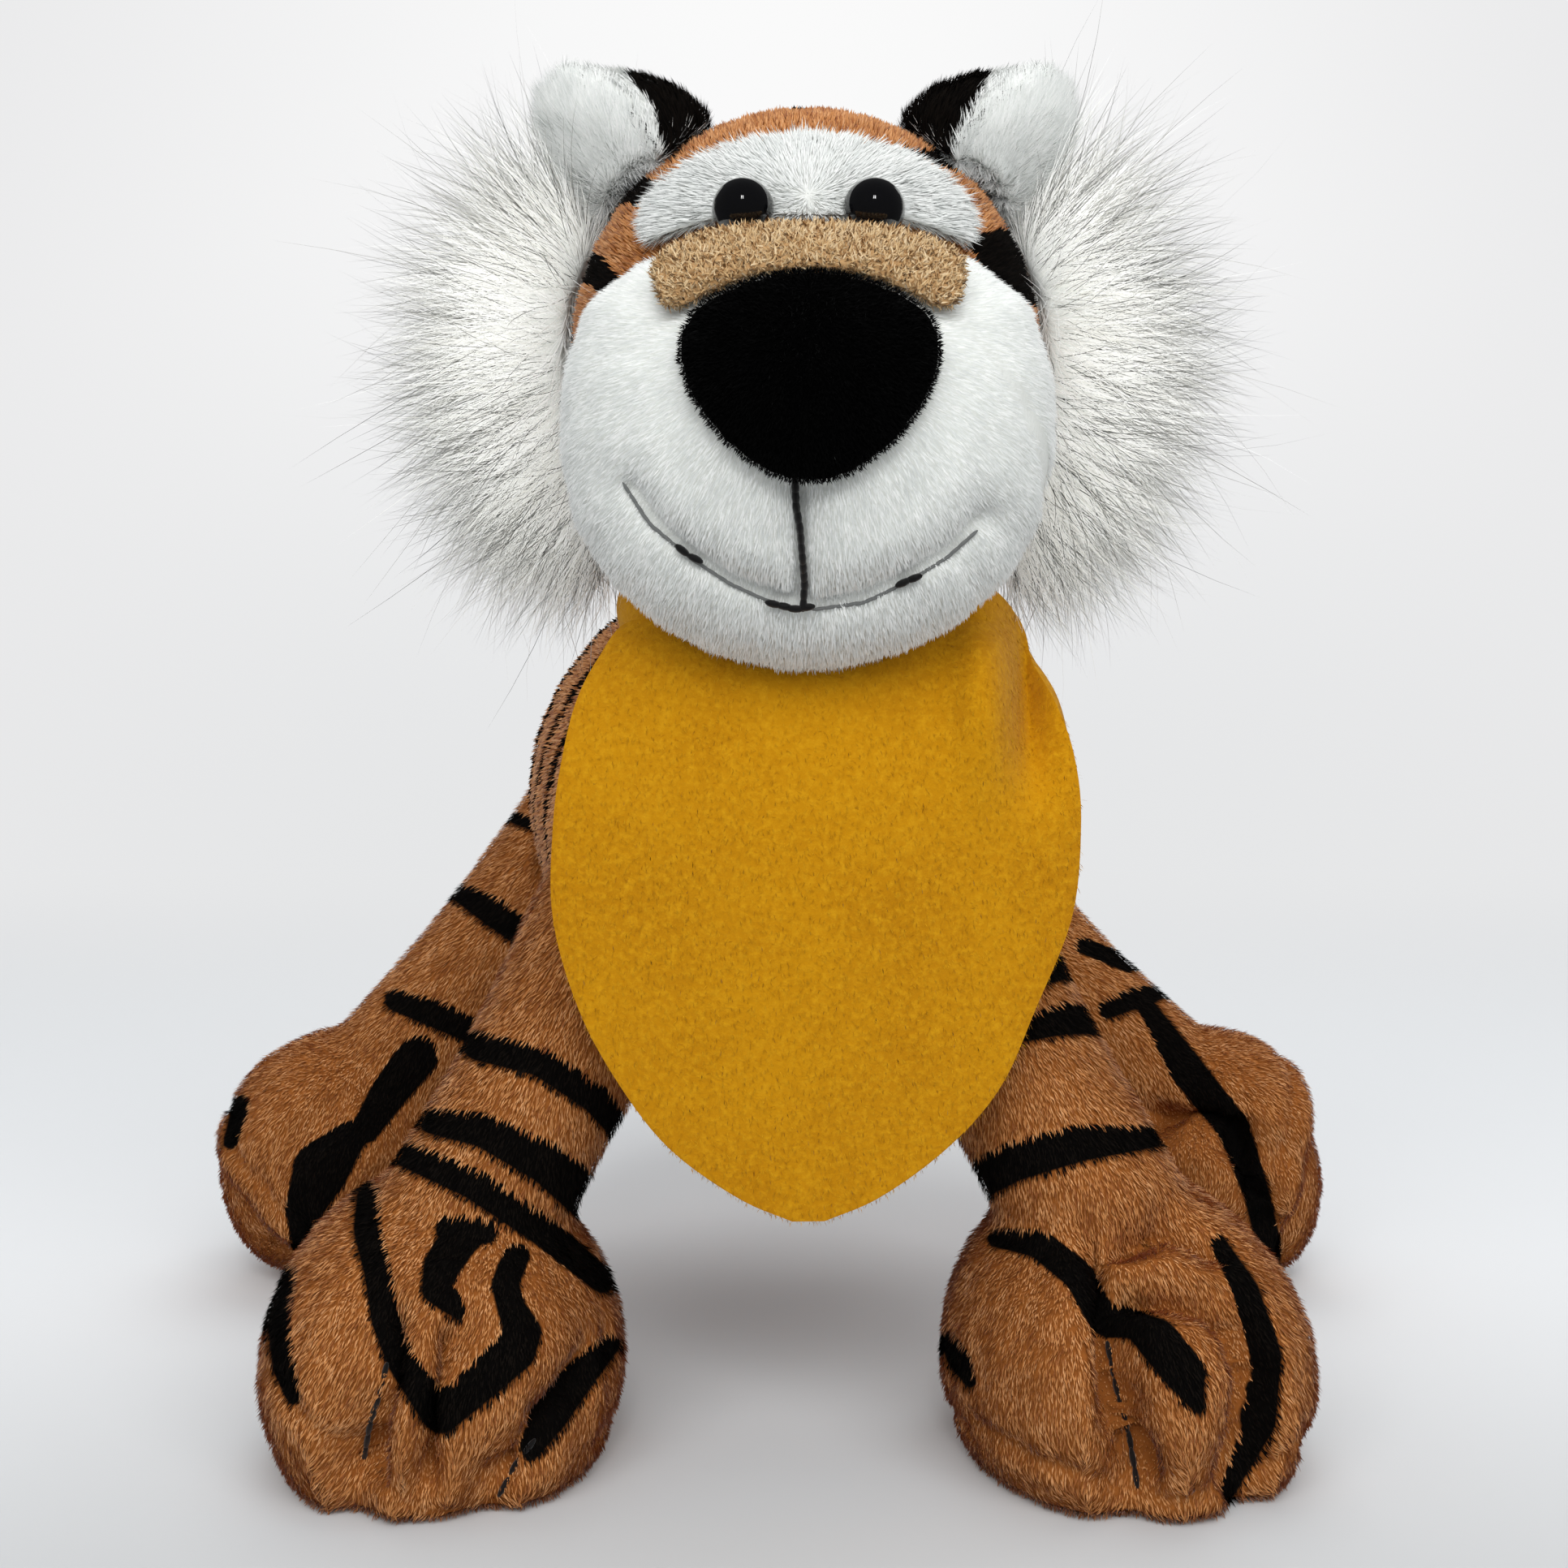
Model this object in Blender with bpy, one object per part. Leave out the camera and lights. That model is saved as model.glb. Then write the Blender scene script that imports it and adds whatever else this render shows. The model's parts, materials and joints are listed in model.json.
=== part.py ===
"""Plush tiger: a stuffed torso on four splayed, pellet-weighted legs, a stuffed head with muzzle, nose,
bead eyes, ears and long-fur ruffs, a tail and a felt bandana. Metres, +Z up, the face looks along -Y.
The origin is on the floor under the middle of the whole toy. Left and right are the toy's own."""

import math

import bmesh
import bpy
from mathutils import Matrix, Vector

# Cloth, seams and fits that several pieces share
PILE_CLOTH = 0.0015
SEAM_GAP = 0.0003
OVERRUN = 0.004
FLAT_DEPTH = 0.0005
LEFT_RIGHT = (("left", 1), ("right", -1))

# Torso, from rump to neck
TORSO_LENGTH = 0.138
TORSO_WIDTH = 0.0905
TORSO_HEIGHT = 0.083
TORSO_AXIS_HEIGHT = 0.088
NECK_RADIUS = 0.0205
NECK_FORWARD = 0.036
NECK_TOP = 0.122
# Each row: back line along and up, belly line along and up, half width
TORSO_STATION_SHARES = (
    (0.558, 0.265, 0.558, -0.12, 0.17),
    (0.529, 0.554, 0.529, -0.434, 0.47),
    (0.449, 0.807, 0.457, -0.723, 0.77),
    (0.297, 0.976, 0.304, -0.94, 0.98),
    (0.13, 1.0, 0.145, -1.0, 1.0),
    (0.0, 0.916, -0.043, -0.964, 0.9),
    (-0.058, 0.84, -0.203, -0.867, 0.8),
    (-0.083, 0.815, -0.333, -0.651, 0.72),
    (-0.094, 0.81, -0.413, -0.337, 0.655),
    (-0.101, 0.812, -0.442, 0.048, 0.59),
    (-0.107, 0.815, -0.431, 0.386, 0.52),
)
TORSO_RINGS = 15
TORSO_SIDES = 24

# Head
HEAD_WIDTH = 0.067
HEAD_DEPTH = 0.068
HEAD_HEIGHT = 0.0685
HEAD_RISE = 0.034
HEAD_FORWARD = 0.004
HEAD_SIDE = 0.0031
HEAD_STUB_RADIUS = 0.0195
HEAD_SIDES = 24
HEAD_LOWEST_DEG = 116
HEAD_RING_COUNT = 9
# How far each ring between the skull and the neck stub has drawn in, and how low it lies
HEAD_THROAT_SHARES = ((0.3, 0.36), (0.66, 0.64), (0.93, 0.86), (1.0, 1.0))

# Muzzle
MUZZLE_WIDTH = 0.0652
MUZZLE_UPPER = 0.0272
MUZZLE_LOWER = 0.0285
MUZZLE_DROP = 0.0155
MUZZLE_BACK_FORWARD = 0.026
MUZZLE_DOME = 0.024
MUZZLE_TIP_RISE = 0.004
MUZZLE_SIDES = 22
MUZZLE_FILL_EASE = 0.001
MUZZLE_UPPER_POWER = 3.2
MUZZLE_DOME_DEGS = (9, 24, 39, 54, 68, 80, 90)
# Each row: how far behind the widest ring, side share, upper share, lower share
MUZZLE_BACK_SHARES = (
    (0.16, 1.0, 1.0, 0.94),
    (0.34, 0.99, 1.0, 0.8),
    (0.52, 0.97, 1.0, 0.6),
    (0.9, 0.93, 0.97, 0.4),
)

# Nose, its bridge and the eye patch, all panels laid on the forms above
LENS_SHARES = (0.15, 0.55, 0.88, 1.0)
LENS_EDGE_FALL_SHARE = 0.45
LENS_EDGE_POWER = 6
DOME_SEARCH_STEPS = 12
NOSE_WIDTH = 0.0315
NOSE_HEIGHT = 0.0257
NOSE_LOW = 0.0049
NOSE_PAD = 0.0026
NOSE_SHARES = (
    (0.0, 1.0),
    (0.5, 0.94),
    (0.9, 0.8),
    (1.0, 0.6),
    (0.88, 0.38),
    (0.62, 0.18),
    (0.32, 0.05),
    (0.0, 0.0),
)
NOSE_FROM_TOP_GAP = 0.0012
NOSE_CURVE_STEPS = 2
BRIDGE_PAD = 0.0018
BRIDGE_HALF_DEG = 44
BRIDGE_FRONT_HALF_DEG = 53
BRIDGE_BACK_DEG = 64
BRIDGE_END_DEG = 52
BRIDGE_LEAST_DEG = 6
BRIDGE_ROWS = 6
BRIDGE_COLUMNS = 13
NOSE_TOP_FALL_SHARE = 0.2
NOSE_SIDE_SHARE = 1.1
PATCH_WIDTH = 0.043
PATCH_TOP_SHARE = 0.765
PATCH_BOTTOM_SHARE = 0.1168
PATCH_SIDES = 24

# Eyes: a bead on a shank that a washer holds behind the cloth
EYE_SPACING = 0.0156
EYE_RISE_SHARE = 0.4117
EYE_RADIUS = 0.004
EYE_DOME = 0.0042
SHANK_RADIUS = 0.0013
SHANK_END = 0.0012
WASHER_RADIUS = 0.0045
WASHER_THICK = 0.001
WASHER_SAG = 0.0006
EYE_SIDES = 12
BEAD_SHARES = ((0.0, 0.85), (0.12, 0.98), (0.4, 1.0), (0.66, 0.86), (0.86, 0.6), (0.97, 0.28))

# Ears: a white cup with a black cup behind it
EAR_WIDTH = 0.029
EAR_HEIGHT = 0.0268
EAR_CUP = 0.0142
EAR_PAD = 0.0016
EAR_LEAN_DEG = 33
EAR_TURN_DEG = 65
EAR_ROOT_SHARE = 0.8
EAR_UP_DEG = 39
EAR_COLUMNS = 8
EAR_STEP_SHARE = 0.01
# Half widths at even steps from the root to the tip
EAR_SHARES = (0.52, 0.78, 0.94, 1.0, 0.98, 0.86, 0.62, 0.3)

# Ruffs: the long-fur panels down the sides of the head
RUFF_RADIAL = 0.0088
RUFF_DEEP = 0.0075
RUFF_OUT = 0.0385
RUFF_BACK = 0.006
RUFF_SIDES = 10
# Each row: direction from the head's middle in degrees over level, swell
RUFF_SHARES = (
    (34, 0.35),
    (26, 0.72),
    (14, 0.95),
    (0, 1.0),
    (-14, 1.0),
    (-27, 0.92),
    (-38, 0.7),
    (-45, 0.35),
)

# Legs and paws
LEG_RADIUS = 0.0135
LEG_SIDES = 14
LEG_RADIUS_SHARES = (1.12, 1.06, 1.0, 0.98, 1.02, 1.06)
SHOULDER_OUT = 0.021
SHOULDER_FORWARD = 0.036
SHOULDER_HEIGHT = 0.078
HIP_BACK_SHARE = 0.275362
LEFT_HIP_OUT = 0.028
LEFT_HIP_HEIGHT = 0.0735
RIGHT_HIP_OUT = 0.031
RIGHT_HIP_HEIGHT = 0.084
FRONT_PAW_OUT = 0.0485
FRONT_PAW_FORWARD = 0.051
FRONT_PAW_TURNS_DEG = {"left": 13, "right": 0}
HIND_PAW_SHARE = 0.87
HIND_PAW_BACK = 0.031
LEFT_PAW_OUT = 0.0893
LEFT_ANKLE_RISE = 0.009
LEFT_SOLE_TILT_DEG = 75
RIGHT_PAW_OUT = 0.0885
RIGHT_ANKLE_RISE = 0.003
RIGHT_SOLE_TILT_DEG = 45
PAW_WIDTH = 0.052
PAW_LENGTH = 0.056
PAW_HEIGHT = 0.041
PAW_WIDEST = 0.014
PAW_LEAN = 0.005
PAW_BASE_SHARE = 0.86
PAW_BASE_POWER = 2.2
PAW_SQUARE_POWER = 2.3
PAW_ANGLES_DEG = (0, 10, 20, 30, 45, 63, 82, 104, 128, 154)
PAW_LEVEL_SHARES = (0.2, 0.42, 0.62, 0.78, 0.9, 0.97)
TOE_SPLIT_DEG = 20
TOE_SPLIT_SPREAD_DEG = 6
TOE_SPLIT_DEPTH = 0.0032
TOE_BULGE = 0.0015
TOE_REACH_DEG = 55
SOLE_LEVEL_SHARES = (0.0, 0.25, 0.6, 1.0)
SOLE_SEAM = 0.006
PELLET_TOP = 0.014
PIVOT_SHARE = 0.12
FRONT_SWING_DEG = (-10, 15)
HIND_SWING_DEG = (-8, 20)

# Tail
TAIL_RADIUS = 0.0065
TAIL_LENGTH = 0.096
TAIL_ROOT_BACK = 0.067
TAIL_ROOT_HEIGHT = 0.097
TAIL_SIDES = 12
TAIL_SWING_DEG = (-15, 25)
# Each row: along, up, swell, in shares of the length and the radius
TAIL_SHARES = (
    (0.0, 0.0, 1.1),
    (0.13, -0.03, 1.05),
    (0.27, -0.12, 1.0),
    (0.39, -0.27, 0.97),
    (0.49, -0.45, 0.97),
    (0.6, -0.61, 1.0),
    (0.73, -0.71, 1.04),
    (0.85, -0.74, 0.95),
    (0.91, -0.735, 0.62),
)

# Bandana: a collar round the neck and a bib that hangs from it
FELT = 0.0018
COLLAR_EASE = 0.0008
COLLAR_SIDES = 28
COLLAR_FLARE_SHARE = 0.24
COLLAR_REAR_POWER = 0.7
COLLAR_FRONT_LOW = 0.1125
COLLAR_FRONT_HIGH = 0.1205
COLLAR_BACK_LOW = 0.1226
COLLAR_BACK_HIGH = 0.1272
BIB_LAP_SHARE = 0.5
BIB_TOP = 0.1185
BIB_DROP = 0.080
BIB_WIDTH = 0.072
BIB_CHEST = 0.0655
BIB_TOP_CURL = 0.036
BIB_CURL = 0.115
PLEAT_RIDGE = 0.0036
PLEAT_HOLLOW = 0.0034
BIB_COLUMNS = 15
# Each row: drop, right edge, left edge, and how far its middle has come forward
BIB_SHARES = (
    (0.0, -0.67, 0.86, 0.0),
    (0.06, -0.72, 0.97, 0.28),
    (0.13, -0.77, 1.04, 0.55),
    (0.22, -0.82, 1.09, 0.82),
    (0.33, -0.855, 1.11, 1.0),
    (0.49, -0.86, 1.08, 1.05),
    (0.65, -0.76, 0.94, 1.01),
    (0.78, -0.6, 0.81, 0.93),
    (0.88, -0.42, 0.61, 0.85),
    (0.96, -0.17, 0.36, 0.78),
    (1.0, 0.03, 0.15, 0.74),
)
PLEAT_FROM_TOP_SHARE = 0.14
PLEAT_FADE_SHARE = 0.3
PLEAT_RIDGE_SHARE = 0.9
PLEAT_HOLLOW_SHARE = 0.7
PLEAT_SPREAD_SHARE = 0.16


def smooth_rows(rows, count):
    """Rows read at count even steps along a Catmull-Rom curve through the given rows."""
    ends = [[2 * a - b for a, b in zip(rows[0], rows[1])]]
    tail = [[2 * a - b for a, b in zip(rows[-1], rows[-2])]]
    path = ends + [list(row) for row in rows] + tail
    found = []
    for step in range(count):
        place = step * (len(rows) - 1) / (count - 1)
        k = min(int(place), len(rows) - 2)
        t = place - k
        row = []
        for a, b, c, d in zip(path[k], path[k + 1], path[k + 2], path[k + 3]):
            bend = (2 * a - 5 * b + 4 * c - d) * t * t + (3 * b - a - 3 * c + d) * t**3
            row.append((2 * b + (c - a) * t + bend) / 2)
        found.append(row)
    return found


def mesh_object(name, points, faces, colour, roughness, parent):
    """A mesh object with its normals out, its own material and its parent empty."""
    mesh = bpy.data.meshes.new(name)
    mesh.from_pydata(points, [], faces)
    shape = bmesh.new()
    shape.from_mesh(mesh)
    bmesh.ops.recalc_face_normals(shape, faces=shape.faces)
    if shape.calc_volume(signed=True) < 0:
        bmesh.ops.reverse_faces(shape, faces=shape.faces)
    shape.to_mesh(mesh)
    shape.free()
    mesh.shade_smooth()
    body = bpy.data.objects.new(name, mesh)
    bpy.context.collection.objects.link(body)
    body.parent = parent
    body.matrix_parent_inverse = parent.matrix_world.inverted()
    material = bpy.data.materials.new(name)
    material.use_nodes = True
    principled = material.node_tree.nodes["Principled BSDF"]
    principled.inputs["Base Color"].default_value = (*colour, 1)
    principled.inputs["Roughness"].default_value = roughness
    principled.inputs["Metallic"].default_value = 0
    mesh.materials.append(material)
    return body


def loft(name, rings, kind, parent):
    """A closed solid through the rings, capped flat at both ends."""
    count = len(rings[0])
    points = [point for ring in rings for point in ring]
    faces = []
    for r in range(len(rings) - 1):
        for k in range(count):
            n = (k + 1) % count
            faces.append((r * count + k, r * count + n, (r + 1) * count + n, (r + 1) * count + k))
    faces.append(tuple(reversed(range(count))))
    faces.append(tuple(range((len(rings) - 1) * count, len(rings) * count)))
    return mesh_object(name, points, faces, *KINDS[kind], parent)


def shell(name, outer, inner, kind, parent):
    """A sewn cover with a wall, closed at its first rings and open at its last ones."""
    return loft(name, outer + inner[::-1], kind, parent)


def belt(name, sections, kind, parent):
    """A closed band through the cross-sections, the last joined to the first."""
    count, across = len(sections), len(sections[0])
    points = [point for section in sections for point in section]
    faces = []
    for s in range(count):
        for k in range(across):
            n, t = (k + 1) % across, (s + 1) % count
            faces.append((s * across + k, s * across + n, t * across + n, t * across + k))
    return mesh_object(name, points, faces, *KINDS[kind], parent)


def slab(name, front, back, kind, parent):
    """A closed panel between two grids of points of the same rows and columns."""
    rows, columns = len(front), len(front[0])
    points = [point for grid in (front, back) for row in grid for point in row]
    size = rows * columns
    faces = []
    for r in range(rows - 1):
        for c in range(columns - 1):
            a, b = r * columns + c, r * columns + c + 1
            d, e = a + columns, b + columns
            faces.append((a, b, e, d))
            faces.append((size + a, size + d, size + e, size + b))
    border = list(range(columns))
    border += [r * columns + columns - 1 for r in range(1, rows)]
    border += [(rows - 1) * columns + c for c in range(columns - 2, -1, -1)]
    border += [r * columns for r in range(rows - 2, 0, -1)]
    for a, b in zip(border, border[1:] + border[:1]):
        faces.append((a, size + a, size + b, b))
    return mesh_object(name, points, faces, *KINDS[kind], parent)


def circle(centre, across, up, radius, count, height=None):
    """Points of a circle, or of an ellipse of another height, in the plane of two directions."""
    tall = radius if height is None else height
    found = []
    for k in range(count):
        angle = math.tau * k / count
        found.append(centre + across * (radius * math.cos(angle)) + up * (tall * math.sin(angle)))
    return found


def along_axis(start, direction, steps, count):
    """Circles of revolution: each step is a distance along the direction and a radius."""
    across = direction.orthogonal().normalized()
    up = direction.cross(across)
    return [circle(start + direction * far, across, up, radius, count) for far, radius in steps]


def cut(body, cutter, operation="DIFFERENCE"):
    """Adds an exact Boolean that the evaluated mesh carries out."""
    modifier = body.modifiers.new(cutter.name, "BOOLEAN")
    modifier.object = cutter
    modifier.operation = operation
    modifier.solver = "EXACT"
    return body


def helper(body):
    """Marks an object as a cutter or a guide, which no render shows."""
    body.hide_render = True
    body.display_type = "WIRE"
    return body


def joint_empty(name, place, parent):
    """An empty on a joint's axis, for the pieces that move with it."""
    empty = bpy.data.objects.new(name, None)
    bpy.context.collection.objects.link(empty)
    empty.parent = parent
    empty.location = place
    bpy.context.view_layer.update()
    return empty


def torso_rings(inset, neck_extra=0.0):
    """The torso's cross-sections, drawn in by a distance; the neck can run on past its top."""
    rows = [list(row) for row in TORSO_STATION_SHARES]
    for row in rows:
        row[0] *= TORSO_LENGTH
        row[2] *= TORSO_LENGTH
        row[1] = TORSO_AXIS_HEIGHT + row[1] * TORSO_HEIGHT / 2
        row[3] = TORSO_AXIS_HEIGHT + row[3] * TORSO_HEIGHT / 2
        row[4] *= TORSO_WIDTH / 2
    neck_back, neck_front = NECK_RADIUS - NECK_FORWARD, -NECK_RADIUS - NECK_FORWARD
    rows.append([neck_back, NECK_TOP, neck_front, NECK_TOP, NECK_RADIUS])
    rings = []
    for number, (back_y, back_z, belly_y, belly_z, half) in enumerate(smooth_rows(rows, TORSO_RINGS)):
        back, belly = Vector((0, back_y, back_z)), Vector((0, belly_y, belly_z))
        up = (back - belly).normalized()
        centre = (back + belly) / 2
        if number == 0:
            centre.y -= inset
        tall = (back - belly).length / 2 - inset
        rings.append(circle(centre, Vector((1, 0, 0)), up, half - inset, TORSO_SIDES, tall))
    if neck_extra:
        rings.append([point + Vector((0, 0, neck_extra)) for point in rings[-1]])
    return rings


def head_middle():
    return Vector((HEAD_SIDE, -NECK_FORWARD - HEAD_FORWARD, NECK_TOP + SEAM_GAP + HEAD_RISE))


def head_ring(direction_deg, inset):
    """The skull's level ring at an angle from its top."""
    drop = math.radians(direction_deg)
    middle = head_middle()
    middle.z += (HEAD_HEIGHT / 2 - inset) * math.cos(drop)
    wide = (HEAD_WIDTH / 2 - inset) * math.sin(drop)
    deep = (HEAD_DEPTH / 2 - inset) * math.sin(drop)
    return circle(middle, Vector((1, 0, 0)), Vector((0, 1, 0)), wide, HEAD_SIDES, deep)


def head_rings(inset):
    """The skull from its top down to the stub that meets the neck."""
    degs = [HEAD_LOWEST_DEG * (k + 1) / HEAD_RING_COUNT for k in range(HEAD_RING_COUNT)]
    rings = [head_ring(deg, inset) for deg in [degs[0] / 3] + degs]
    low = rings[-1]
    neck = Vector((0, -NECK_FORWARD, NECK_TOP + SEAM_GAP))
    across, up = Vector((1, 0, 0)), Vector((0, 1, 0))
    foot = circle(neck, across, up, HEAD_STUB_RADIUS - inset, HEAD_SIDES)
    for draw, fall in HEAD_THROAT_SHARES:
        ring = []
        for skull, stub in zip(low, foot):
            point = skull.lerp(stub, draw)
            point.z = skull.z + (stub.z - skull.z) * fall
            ring.append(point)
        rings.append(ring)
    return rings


def head_front(x, z, lift):
    """The point on the skull's front face over a side and a height, raised by a lift."""
    middle = head_middle()
    wide = (x - middle.x) / (HEAD_WIDTH / 2 + lift)
    tall = (z - middle.z) / (HEAD_HEIGHT / 2 + lift)
    deep = math.sqrt(max(0.0, 1 - wide * wide - tall * tall))
    return Vector((x, middle.y - (HEAD_DEPTH / 2 + lift) * deep, z))


def muzzle_middle():
    middle = head_middle()
    return Vector((middle.x, middle.y - MUZZLE_BACK_FORWARD, middle.z - MUZZLE_DROP))


def muzzle_reach(angle, lift, side=1.0, upper=1.0, lower=1.0):
    """How far the muzzle's outline is from its middle in a direction round the face."""
    over = math.sin(angle) > 0
    tall = MUZZLE_UPPER * upper if over else MUZZLE_LOWER * lower
    power = MUZZLE_UPPER_POWER if over else 2
    wide = abs(math.cos(angle) / (MUZZLE_WIDTH / 2 * side + lift)) ** power
    return (wide + abs(math.sin(angle) / (tall + lift)) ** power) ** (-1 / power)


def muzzle_point(angle, dome_deg, lift):
    """A point of the muzzle's dome: an angle round the face and one from its tip."""
    reach = muzzle_reach(angle, lift) * math.sin(math.radians(dome_deg))
    front = math.cos(math.radians(dome_deg))
    offset = (reach * math.cos(angle), -(MUZZLE_DOME + lift) * front, reach * math.sin(angle))
    return muzzle_middle() + Vector(offset) + Vector((0, 0, MUZZLE_TIP_RISE * front))


def muzzle_front(x, z, lift):
    """The point on the muzzle's dome over a side and a height, raised by a lift."""
    middle = muzzle_middle()
    front = 1.0
    for _ in range(DOME_SEARCH_STEPS):
        tall = z - middle.z - MUZZLE_TIP_RISE * front
        share = math.hypot(x - middle.x, tall) / muzzle_reach(math.atan2(tall, x - middle.x), lift)
        front = (front + math.sqrt(max(0.0, 1 - share * share))) / 2
    return Vector((x, middle.y - (MUZZLE_DOME + lift) * front, z))


def muzzle_rings(inset, overrun=0.0):
    """The muzzle from its tip back into the head."""
    angles = [math.tau * k / MUZZLE_SIDES for k in range(MUZZLE_SIDES)]
    rings = [[muzzle_point(angle, deg, -inset) for angle in angles] for deg in MUZZLE_DOME_DEGS]
    for back, side, upper, lower in MUZZLE_BACK_SHARES:
        ring = []
        for angle in angles:
            reach = muzzle_reach(angle, -inset, side, upper, lower)
            offset = (reach * math.cos(angle), back * MUZZLE_BACK_FORWARD, reach * math.sin(angle))
            ring.append(muzzle_middle() + Vector(offset))
        rings.append(ring)
    if overrun:
        rings.append([point + Vector((0, overrun, 0)) for point in rings[-1]])
    return rings


def lens(centre, outline, place, low, high):
    """Rings of a panel on a form: its front face outwards, then its back face inwards."""
    front, back = [], []
    for share in LENS_SHARES:
        spots = []
        for x, z in outline:
            spots.append((centre[0] + (x - centre[0]) * share, centre[1] + (z - centre[1]) * share))
        full = high - (high - low) * LENS_EDGE_FALL_SHARE * share**LENS_EDGE_POWER
        front.append([place(x, z, full) for x, z in spots])
        back.append([place(x, z, low) for x, z in spots])
    return front + back[::-1]


def paw_outline(height, inset):
    """One level of the paw in its own axes: sole down, toes along -Y, three toes at the front."""
    top = PAW_HEIGHT - inset
    level = min(max(height, 0.0), top)
    if level > PAW_WIDEST:
        rise = (level - PAW_WIDEST) / (top - PAW_WIDEST)
        swell = math.sqrt(max(0.0, 1 - rise * rise))
    else:
        rise = 0.0
        swell = 1 - (1 - PAW_BASE_SHARE) * (1 - level / PAW_WIDEST) ** PAW_BASE_POWER
    half = [math.radians(deg) for deg in PAW_ANGLES_DEG]
    angles = half + [math.pi] + [-angle for angle in half[:0:-1]]
    points = []
    for angle in angles:
        wide = abs(math.sin(angle) / (PAW_WIDTH / 2)) ** PAW_SQUARE_POWER
        long = abs(math.cos(angle) / (PAW_LENGTH / 2)) ** PAW_SQUARE_POWER
        reach = (wide + long) ** (-1 / PAW_SQUARE_POWER)
        off = abs(math.degrees(angle)) - TOE_SPLIT_DEG
        split = TOE_SPLIT_DEPTH * math.exp(-((off / TOE_SPLIT_SPREAD_DEG) ** 2))
        bulge = TOE_BULGE * math.cos(min(abs(math.degrees(angle)) / TOE_REACH_DEG, 1) * math.pi / 2)
        toe = (bulge - split) * (1 - rise * rise)
        radius = (reach - inset) * swell + toe
        back = PAW_LEAN * rise * rise
        points.append(Vector((radius * math.sin(angle), back - radius * math.cos(angle), height)))
    return points


def paw_rings(low, inset):
    """Levels of the paw from a height up to its top."""
    top = PAW_HEIGHT - inset
    return [paw_outline(low, inset)] + [
        paw_outline(low + (top - low) * share, inset) for share in PAW_LEVEL_SHARES
    ]


def placed(rings, matrix):
    return [[matrix @ point for point in ring] for ring in rings]


def leg_tube(start, end, inset, overrun=0.0):
    """The leg's tube from inside the torso to inside the paw."""
    direction = (end - start).normalized()
    length = (end - start).length
    count = len(LEG_RADIUS_SHARES)
    steps = []
    for k, share in enumerate(LEG_RADIUS_SHARES):
        steps.append((length * k / (count - 1), LEG_RADIUS * share - inset))
    steps[0] = (-overrun, steps[0][1])
    return along_axis(start, direction, steps, LEG_SIDES)


def turned_guard(name, guard, pivot, degrees):
    """A copy of the torso's guard, turned about a joint the way the limb sees it turn."""
    copy = bpy.data.objects.new(name, guard.data)
    bpy.context.collection.objects.link(copy)
    turn = Matrix.Rotation(math.radians(degrees), 4, "X")
    copy.parent = guard.parent
    copy.matrix_parent_inverse = guard.matrix_parent_inverse
    copy.matrix_basis = Matrix.Translation(pivot) @ turn @ Matrix.Translation(-pivot)
    return helper(copy)


def build_torso(root):
    """The torso's cover and its filling, and the guard that its neighbours are cut by."""
    shell("torso_skin", torso_rings(0), torso_rings(PILE_CLOTH), "orange_plush", root)
    core = torso_rings(PILE_CLOTH + SEAM_GAP)
    core[-1] = [point - Vector((0, 0, SEAM_GAP)) for point in core[-1]]
    loft("torso_stuffing", core, "stuffing", root)
    return helper(loft("torso_guard", torso_rings(-SEAM_GAP), "helper", root))


def build_bandana(root):
    """The collar and the bib, joined into one piece of felt."""
    sections = []
    for k in range(COLLAR_SIDES):
        angle = math.tau * k / COLLAR_SIDES
        out = Vector((math.sin(angle), -math.cos(angle), 0))
        rear = (1 - math.cos(angle)) / 2
        low = COLLAR_FRONT_LOW + (COLLAR_BACK_LOW - COLLAR_FRONT_LOW) * rear**COLLAR_REAR_POWER
        high = COLLAR_FRONT_HIGH + (COLLAR_BACK_HIGH - COLLAR_FRONT_HIGH) * rear**COLLAR_REAR_POWER
        middle = Vector((0, -NECK_FORWARD, 0))
        inner = NECK_RADIUS + SEAM_GAP + COLLAR_EASE
        flare = (NECK_TOP - low) * COLLAR_FLARE_SHARE
        foot, head = middle + Vector((0, 0, low)), middle + Vector((0, 0, high))
        near, far = out * inner, out * (inner + FELT)
        spread = out * flare
        sections.append([head + near, head + far, foot + far + spread, foot + near + spread])
    collar = belt("bandana", sections, "felt", root)
    grids = []
    for behind in (0.0, FELT):
        rows = []
        for drop, right, left, forward in BIB_SHARES:
            start = NECK_FORWARD + NECK_RADIUS + SEAM_GAP + COLLAR_EASE + FELT * (1 + BIB_LAP_SHARE)
            curl = BIB_TOP_CURL + (BIB_CURL - BIB_TOP_CURL) * min(forward, 1)
            row = []
            for c in range(BIB_COLUMNS):
                share = right + (left - right) * c / (BIB_COLUMNS - 1)
                x = share * BIB_WIDTH / 2
                y = -start - (BIB_CHEST - start) * forward + x * x / (2 * curl)
                fade = max(0.0, 1 - abs(drop - PLEAT_FROM_TOP_SHARE) / PLEAT_FADE_SHARE)
                ridge = math.exp(-(((share - PLEAT_RIDGE_SHARE) / PLEAT_SPREAD_SHARE) ** 2))
                hollow = math.exp(-(((share - PLEAT_HOLLOW_SHARE) / (PLEAT_SPREAD_SHARE / 2)) ** 2))
                y -= (PLEAT_RIDGE * ridge - PLEAT_HOLLOW * hollow) * fade
                row.append(Vector((x, y + behind, BIB_TOP - BIB_DROP * drop)))
            rows.append(row)
        grids.append(rows)
    bib = helper(slab("bib", grids[0], grids[1], "felt", root))
    return cut(collar, bib, "UNION")


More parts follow.
